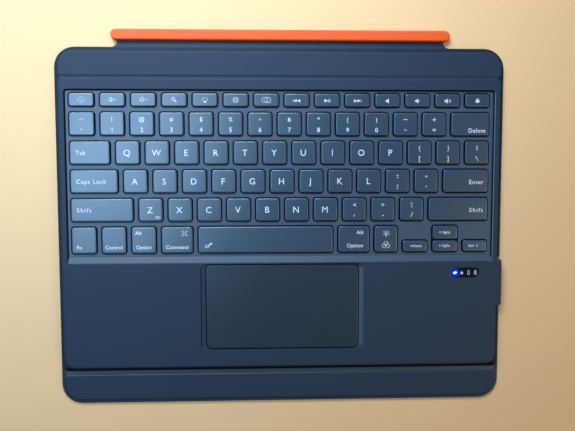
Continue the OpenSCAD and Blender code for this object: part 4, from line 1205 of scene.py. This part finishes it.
# Each arrow key: its word, where its arrow points, and how far both lie from the middle.
for node, text, angle, arrow_at, word_at in (
    ("left_arrow_key", "Home", 180, -2.5, 1.4), ("right_arrow_key", "End", 0, 1.4, -2.3),
    ("up_arrow_key", "PgUp", 90, -3.3, 0.8), ("down_arrow_key", "PgDn", 270, -3.3, 0.8),
):
    x, y = middle(groups[node][1][0])
    sheets[node].arrow(x + arrow_at, y + 0.2, 0.7, angle)
    sheets[node].word(text, x + word_at, y + 0.2, 1.6, bold=0.03, spread=1.04)
for node, ink in sheets.items():
    finish_piece(ink.make(node + "_legends"), groups[node][0], legend_ink, "keycap")

# %% [markdown]
# ## Touchpad and status window
# The touchpad is a thin board under an etched film with a polished rim. The status window is
# smoked acrylic. Four small signs shine through it, and the first one glows blue.

# %% The touchpad
(px0, py0, pz0), (px1, py1, pz1) = box_mm("touchpad_plate")
touch_rings = soft_edge(rounded(px0, px1, py0, py1, 3.5, 3.5, 9), pz0, pz1, 0.02, 0.3,
                        steps=4, support=0.4)
solid_piece("touchpad_film", touch_rings, "touchpad", pad_film, "touch_glass",
            "touchpad_plate")

# %% The status window
PANE_EDGE = [(0, wz0), (0, wz1 - 0.12), (-0.05, wz1 - 0.03), (-0.14, wz1), (-0.5, wz1)]
solid_piece("status_pane", [window_ring(*step) for step in PANE_EDGE], "deck", window_gloss,
            "window_plastic", "status_window")

# %% Signs in the window
def glowing(name, colour, strength):
    """Light that comes through a printed sign."""
    mat = moulded(name, colour, 0.4, 0.5, 0.002)
    shader = mat.node_tree.nodes["Principled BSDF"]
    shader.inputs["Emission Color"].default_value = linear(colour)
    shader.inputs["Emission Strength"].default_value = strength
    return mat


LAMP_PITCH = 4.5
# A blue diode behind a clear sign, so bright that its middle is nearly white.
lamp_core = glowing("blue_lamp_light", "#9cc8ff", 1.6)
# White print lit from behind by what little light leaks to it: a dim, even glow.
sign_white = glowing("white_sign_light", "#aebccd", 0.25)
lamp_y = (wy0 + wy1) / 2
lamp_x = [(wx0 + wx1) / 2 + (i - 1.5) * LAMP_PITCH for i in range(4)]


def window_sign(name, x, sign, material):
    """A printed sign on the pane, made as ink is and moved down to the pane."""
    ink = Ink()
    ink.draw(x, lamp_y, sign)
    ink.points = [(x, y, z - CAP_TOP + wz1) for x, y, z in ink.points]
    finish_piece(ink.make(name), "deck", material, "lamp_plastic")


def battery(cells):
    bars = [("line", -0.25, 0.7 * i - 0.7, 0.25, 0.7 * i - 0.7, 0.3) for i in range(cells)]
    return [("box", 1.3, 2.6, 0.24, 0.2), ("line", -0.3, 1.5, 0.3, 1.5, 0.3), *bars]


def oval(long, short, angle, n=22):
    """A solid oval, turned by this angle."""
    c, s = math.cos(math.radians(angle)), math.sin(math.radians(angle))
    turns = [2 * math.pi * i / n for i in range(n)]
    flat = [(long / 2 * math.cos(a), short / 2 * math.sin(a)) for a in turns]
    return [("prism", [(u * c - v * s, u * s + v * c) for u, v in flat])]


window_sign("first_lamp_light", lamp_x[0], oval(2.5, 1.6, 18), lamp_core)
window_sign("lock_sign", lamp_x[1], padlock(0.8), sign_white)
window_sign("battery_sign_low", lamp_x[2], battery(1), sign_white)
window_sign("battery_sign_full", lamp_x[3], battery(3), sign_white)

# %% A blue halo in the pane, fading with the distance from the lamp
tree = window_gloss.node_tree
shader = tree.nodes["Principled BSDF"]
place = add(tree, "ShaderNodeTexCoord").outputs["Object"]
lamp_at = (lamp_x[0] * MM, (lamp_y - MIDDLE) * MM, wz1 * MM)
away = add(tree, "ShaderNodeVectorMath", {"operation": "DISTANCE"}, {1: lamp_at}, {0: place})
halo = add(tree, "ShaderNodeMapRange", {"interpolation_type": "SMOOTHSTEP"},
           {"From Min": 1.0 * MM, "From Max": 4.2 * MM, "To Min": 0.75, "To Max": 0.0},
           {"Value": away.outputs["Value"]})
shader.inputs["Emission Color"].default_value = linear("#0f36ff")
tree.links.new(halo.outputs["Result"], shader.inputs["Emission Strength"])
print("halo round", [round(v, 4) for v in lamp_at])

# %% [markdown]
# ## Pieces that keep their CAD shape
# The web, the ports and everything inside are hard parts with the right shape already, so
# they only get a finish. Metals keep the default refraction index.

# %% Metals
GLOSS_SPREAD = 0.08  # how far a metal's roughness strays to either side
SCRATCH_MM = 0.004  # how deep its grain is


def metal(name, colour, roughness, grain_mm, stretch=1.0):
    """Rolled or plated metal with a fine grain in its gloss."""
    mat, tree, shader = start_material(name)
    place = add(tree, "ShaderNodeTexCoord").outputs["Object"]
    turned = add(tree, "ShaderNodeMapping", {}, {"Scale": (1, stretch, 1)}, {"Vector": place})
    grain = add(tree, "ShaderNodeTexNoise", {}, {"Scale": 1 / (grain_mm * MM), "Detail": 3.0},
                {"Vector": turned.outputs["Vector"]})
    rough = add(tree, "ShaderNodeMapRange", {},
                {"To Min": roughness - GLOSS_SPREAD, "To Max": roughness + GLOSS_SPREAD},
                {"Value": grain.outputs["Fac"]})
    bump = add(tree, "ShaderNodeBump", {}, {"Strength": 0.3, "Distance": SCRATCH_MM * MM},
               {"Height": grain.outputs["Fac"]})
    tree.links.new(rough.outputs["Result"], shader.inputs["Roughness"])
    tree.links.new(bump.outputs["Normal"], shader.inputs["Normal"])
    shader.inputs["Base Color"].default_value = linear(colour)
    shader.inputs["Metallic"].default_value = 1.0
    return mat


print("metal grain is", SCRATCH_MM, "mm deep")

# %% A finish for each material slot of the part
finishes = {
    "skin": leatherette,
    "shell_plastic": dark_shell,
    "web_plastic": web_abs,
    # Heat-blackened rolled steel: dark, with fine streaks along the rolling.
    "steel": metal("blackened_steel", "#33363b", 0.45, 0.5, 12.0),
    # Printed PET sheet: nearly black, with an even sheen.
    "film": moulded("printed_pet_membrane", "#15181c", 0.40, 0.8, 0.004),
    # Milky film that spreads light: pale and glossy.
    "clear_film": moulded("light_guide_film", "#f0f0ea", 0.2, 0.8, 0.003),
    # Moulded silicone: soft and matte.
    "dome_rubber": moulded("black_silicone", "#202328", 0.6, 0.4, 0.01),
    # Moulded acetal: slippery, with a waxy shine.
    "link_plastic": moulded("acetal_links", "#16181c", 0.4, 0.4, 0.006),
    "touch_glass": pad_film,
    # Lacquer over copper: a glossy green with soft waves.
    "board": moulded("solder_mask", "#1f6b45", 0.35, 0.8, 0.01),
    # Nylon with glass fibres: black, a little rough.
    "switch_plastic": moulded("glass_filled_nylon", "#14171b", 0.45, 0.3, 0.012),
    # Aluminium foil laminate: bright, drawn in one direction.
    "cell_foil": metal("pouch_foil", "#b9bec4", 0.3, 0.6, 3.0),
    "window_plastic": window_gloss,
    # Clear acrylic, shown by the tint of its lamp: smooth and shiny.
    "lamp_plastic": moulded("clear_acrylic_pipe", "#8fb4e8", 0.15, 0.8, 0.002),
    # Amber film over copper: brown and shiny.
    "ribbon": moulded("polyimide_ribbon", "#4a3a20", 0.35, 0.6, 0.004),
    # Plated magnets: a bright, slightly blurred mirror.
    "magnet": metal("nickel_plating", "#b4b6b8", 0.28, 0.4),
    "rail_plastic": rail_rubber,
    "keycap": cap_abs,
}
slots = {part["node"]: part["material_slot"] for part in frame["record"]["subparts"]}
for name, slot in slots.items():
    materials = frame["nodes"][name].data.materials
    materials.clear()
    materials.append(finishes[slot])
# Painted shade on the walls of the web's openings.
second_finish(frame["nodes"]["key_web"], skirt_shade_abs, lambda c, n: abs(n.z) < 0.5)
print("finished", len(slots), "CAD nodes")

# %% [markdown]
# ## Domes and links, cut by key
# Under a pressed key the rubber dome collapses and the crossed links fold flat. The CAD has
# all domes in one node and all links in another, so each node is cut into one piece for each
# key joint.

# %% Domes and links, cut by key joint
areas = [(cap, node) for node, (body, caps) in groups.items() for cap in caps]


def cut_by_keys(source):
    """Copies a CAD node's faces into one mesh for each group of keys above them."""
    mesh = frame["nodes"][source].data
    faces = {node: [] for node in groups}
    for polygon in mesh.polygons:
        x, y = polygon.center.x / MM, polygon.center.y / MM + MIDDLE
        above = next(node for (x0, x1, y0, y1), node in areas if x0 < x < x1 and y0 < y < y1)
        faces[above].append(tuple(polygon.vertices))
    for node, (body, caps) in groups.items():
        used = sorted({corner for face in faces[node] for corner in face})
        place = {old: new for new, old in enumerate(used)}
        part = bpy.data.meshes.new(f"{node}_{source}")
        part.from_pydata([mesh.vertices[old].co[:] for old in used], [],
                         [[place[old] for old in face] for face in faces[node]])
        edit(part, merge)
        obj = new_object(part.name, part)
        finish_piece(obj, "deck", finishes[slots[source]], slots[source], source)
        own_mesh(obj)


cut_by_keys("dome_sheet")
cut_by_keys("scissor_links")

# %% [markdown]
# ## Floor, light and camera
# A pale table stands in mixed daylight and lamplight. A low window behind the folio and a
# patch of sky at its left are cool and give the left keys their sheen. A warm lamp farther
# back tints the table, and a broad, nearly white light at the right front fills in. It stands
# where the flat keys don't mirror it into the camera, which looks almost straight down.

# %% The floor
FLOOR_HALF = 3.0
FLOOR_Z = -0.0002  # a hair below the folio, so that two faces never share one plane
floor_mesh = bpy.data.meshes.new("floor")
floor_mesh.from_pydata([(x * FLOOR_HALF, y * FLOOR_HALF, FLOOR_Z)
                        for x, y in ((-1, -1), (1, -1), (1, 1), (-1, 1))], [], [(0, 1, 2, 3)])
# Matt lacquer on pale wood: the warm ground that sets off the blue.
floor_mesh.materials.append(moulded("matt_table_top", "#eec695", 0.8, 3.0, 0.02, 0.015, 0.03,
                                    specular=0.1))
floor = new_object("floor", floor_mesh)
print("floor", 2 * FLOOR_HALF, "m wide")

# %% Light
def area_light(name, place, aim, size, watts, colour, spread=180):
    """A rectangular lamp that points at a place; a small spread narrows its beam."""
    light = bpy.data.lights.new(name, "AREA")
    light.shape = "RECTANGLE"
    light.size, light.size_y = size
    light.energy = watts
    light.color = linear(colour)[:3]
    light.spread = math.radians(spread)
    obj = new_object(name, light)
    obj.location = place
    obj.rotation_euler = (Vector(aim) - Vector(place)).to_track_quat("-Z", "Y").to_euler()
    print(name, watts, "W")


# Each lamp: its place, the place it points at, its size in metres, power, colour and beam.
area_light("window_light", (-0.12, 0.42, 0.36), (-0.05, 0.16, 0.0), (0.35, 0.2),
           1.8, "#c8e6ff", 110)
area_light("sky_sheen", (-0.32, 0.08, 0.62), (-0.28, 0.06, 0.0), (0.34, 0.34),
           0.6, "#a9d6ff", 78)
area_light("warm_lamp", (-0.5, 0.6, 0.7), (0.0, 0.05, 0.0), (0.5, 0.5), 1.4, "#ffcf9a")
area_light("room_light", (1.0, -0.4, 0.85), (0.15, 0.0, 0.0), (0.7, 0.7), 6.0, "#ffefe0")
world = bpy.data.worlds.new("room")
world.use_nodes = True
background = world.node_tree.nodes["Background"]
background.inputs["Color"].default_value = linear("#ffffff")
background.inputs["Strength"].default_value = 0.09
bpy.context.scene.world = world

# %% Camera
IMAGE_WIDTH = 575
FOCAL_PIXELS = 635.2
CAMERA_PLACE = (-0.01248, 0.03144, 0.41336)
CAMERA_TURN = (-4.0468, -2.2273, -0.0863)  # degrees away from straight down
camera_data = bpy.data.cameras.new("camera")
camera_data.sensor_width = 36.0
camera_data.lens = FOCAL_PIXELS / IMAGE_WIDTH * camera_data.sensor_width
camera_data.clip_start = 0.01
camera = new_object("camera", camera_data)
camera.location = CAMERA_PLACE
camera.rotation_euler = [math.radians(a) for a in CAMERA_TURN]
bpy.context.scene.camera = camera
bpy.context.scene.view_settings.view_transform = "Standard"
print("camera", [round(v, 4) for v in camera.location], "lens", round(camera_data.lens, 2))
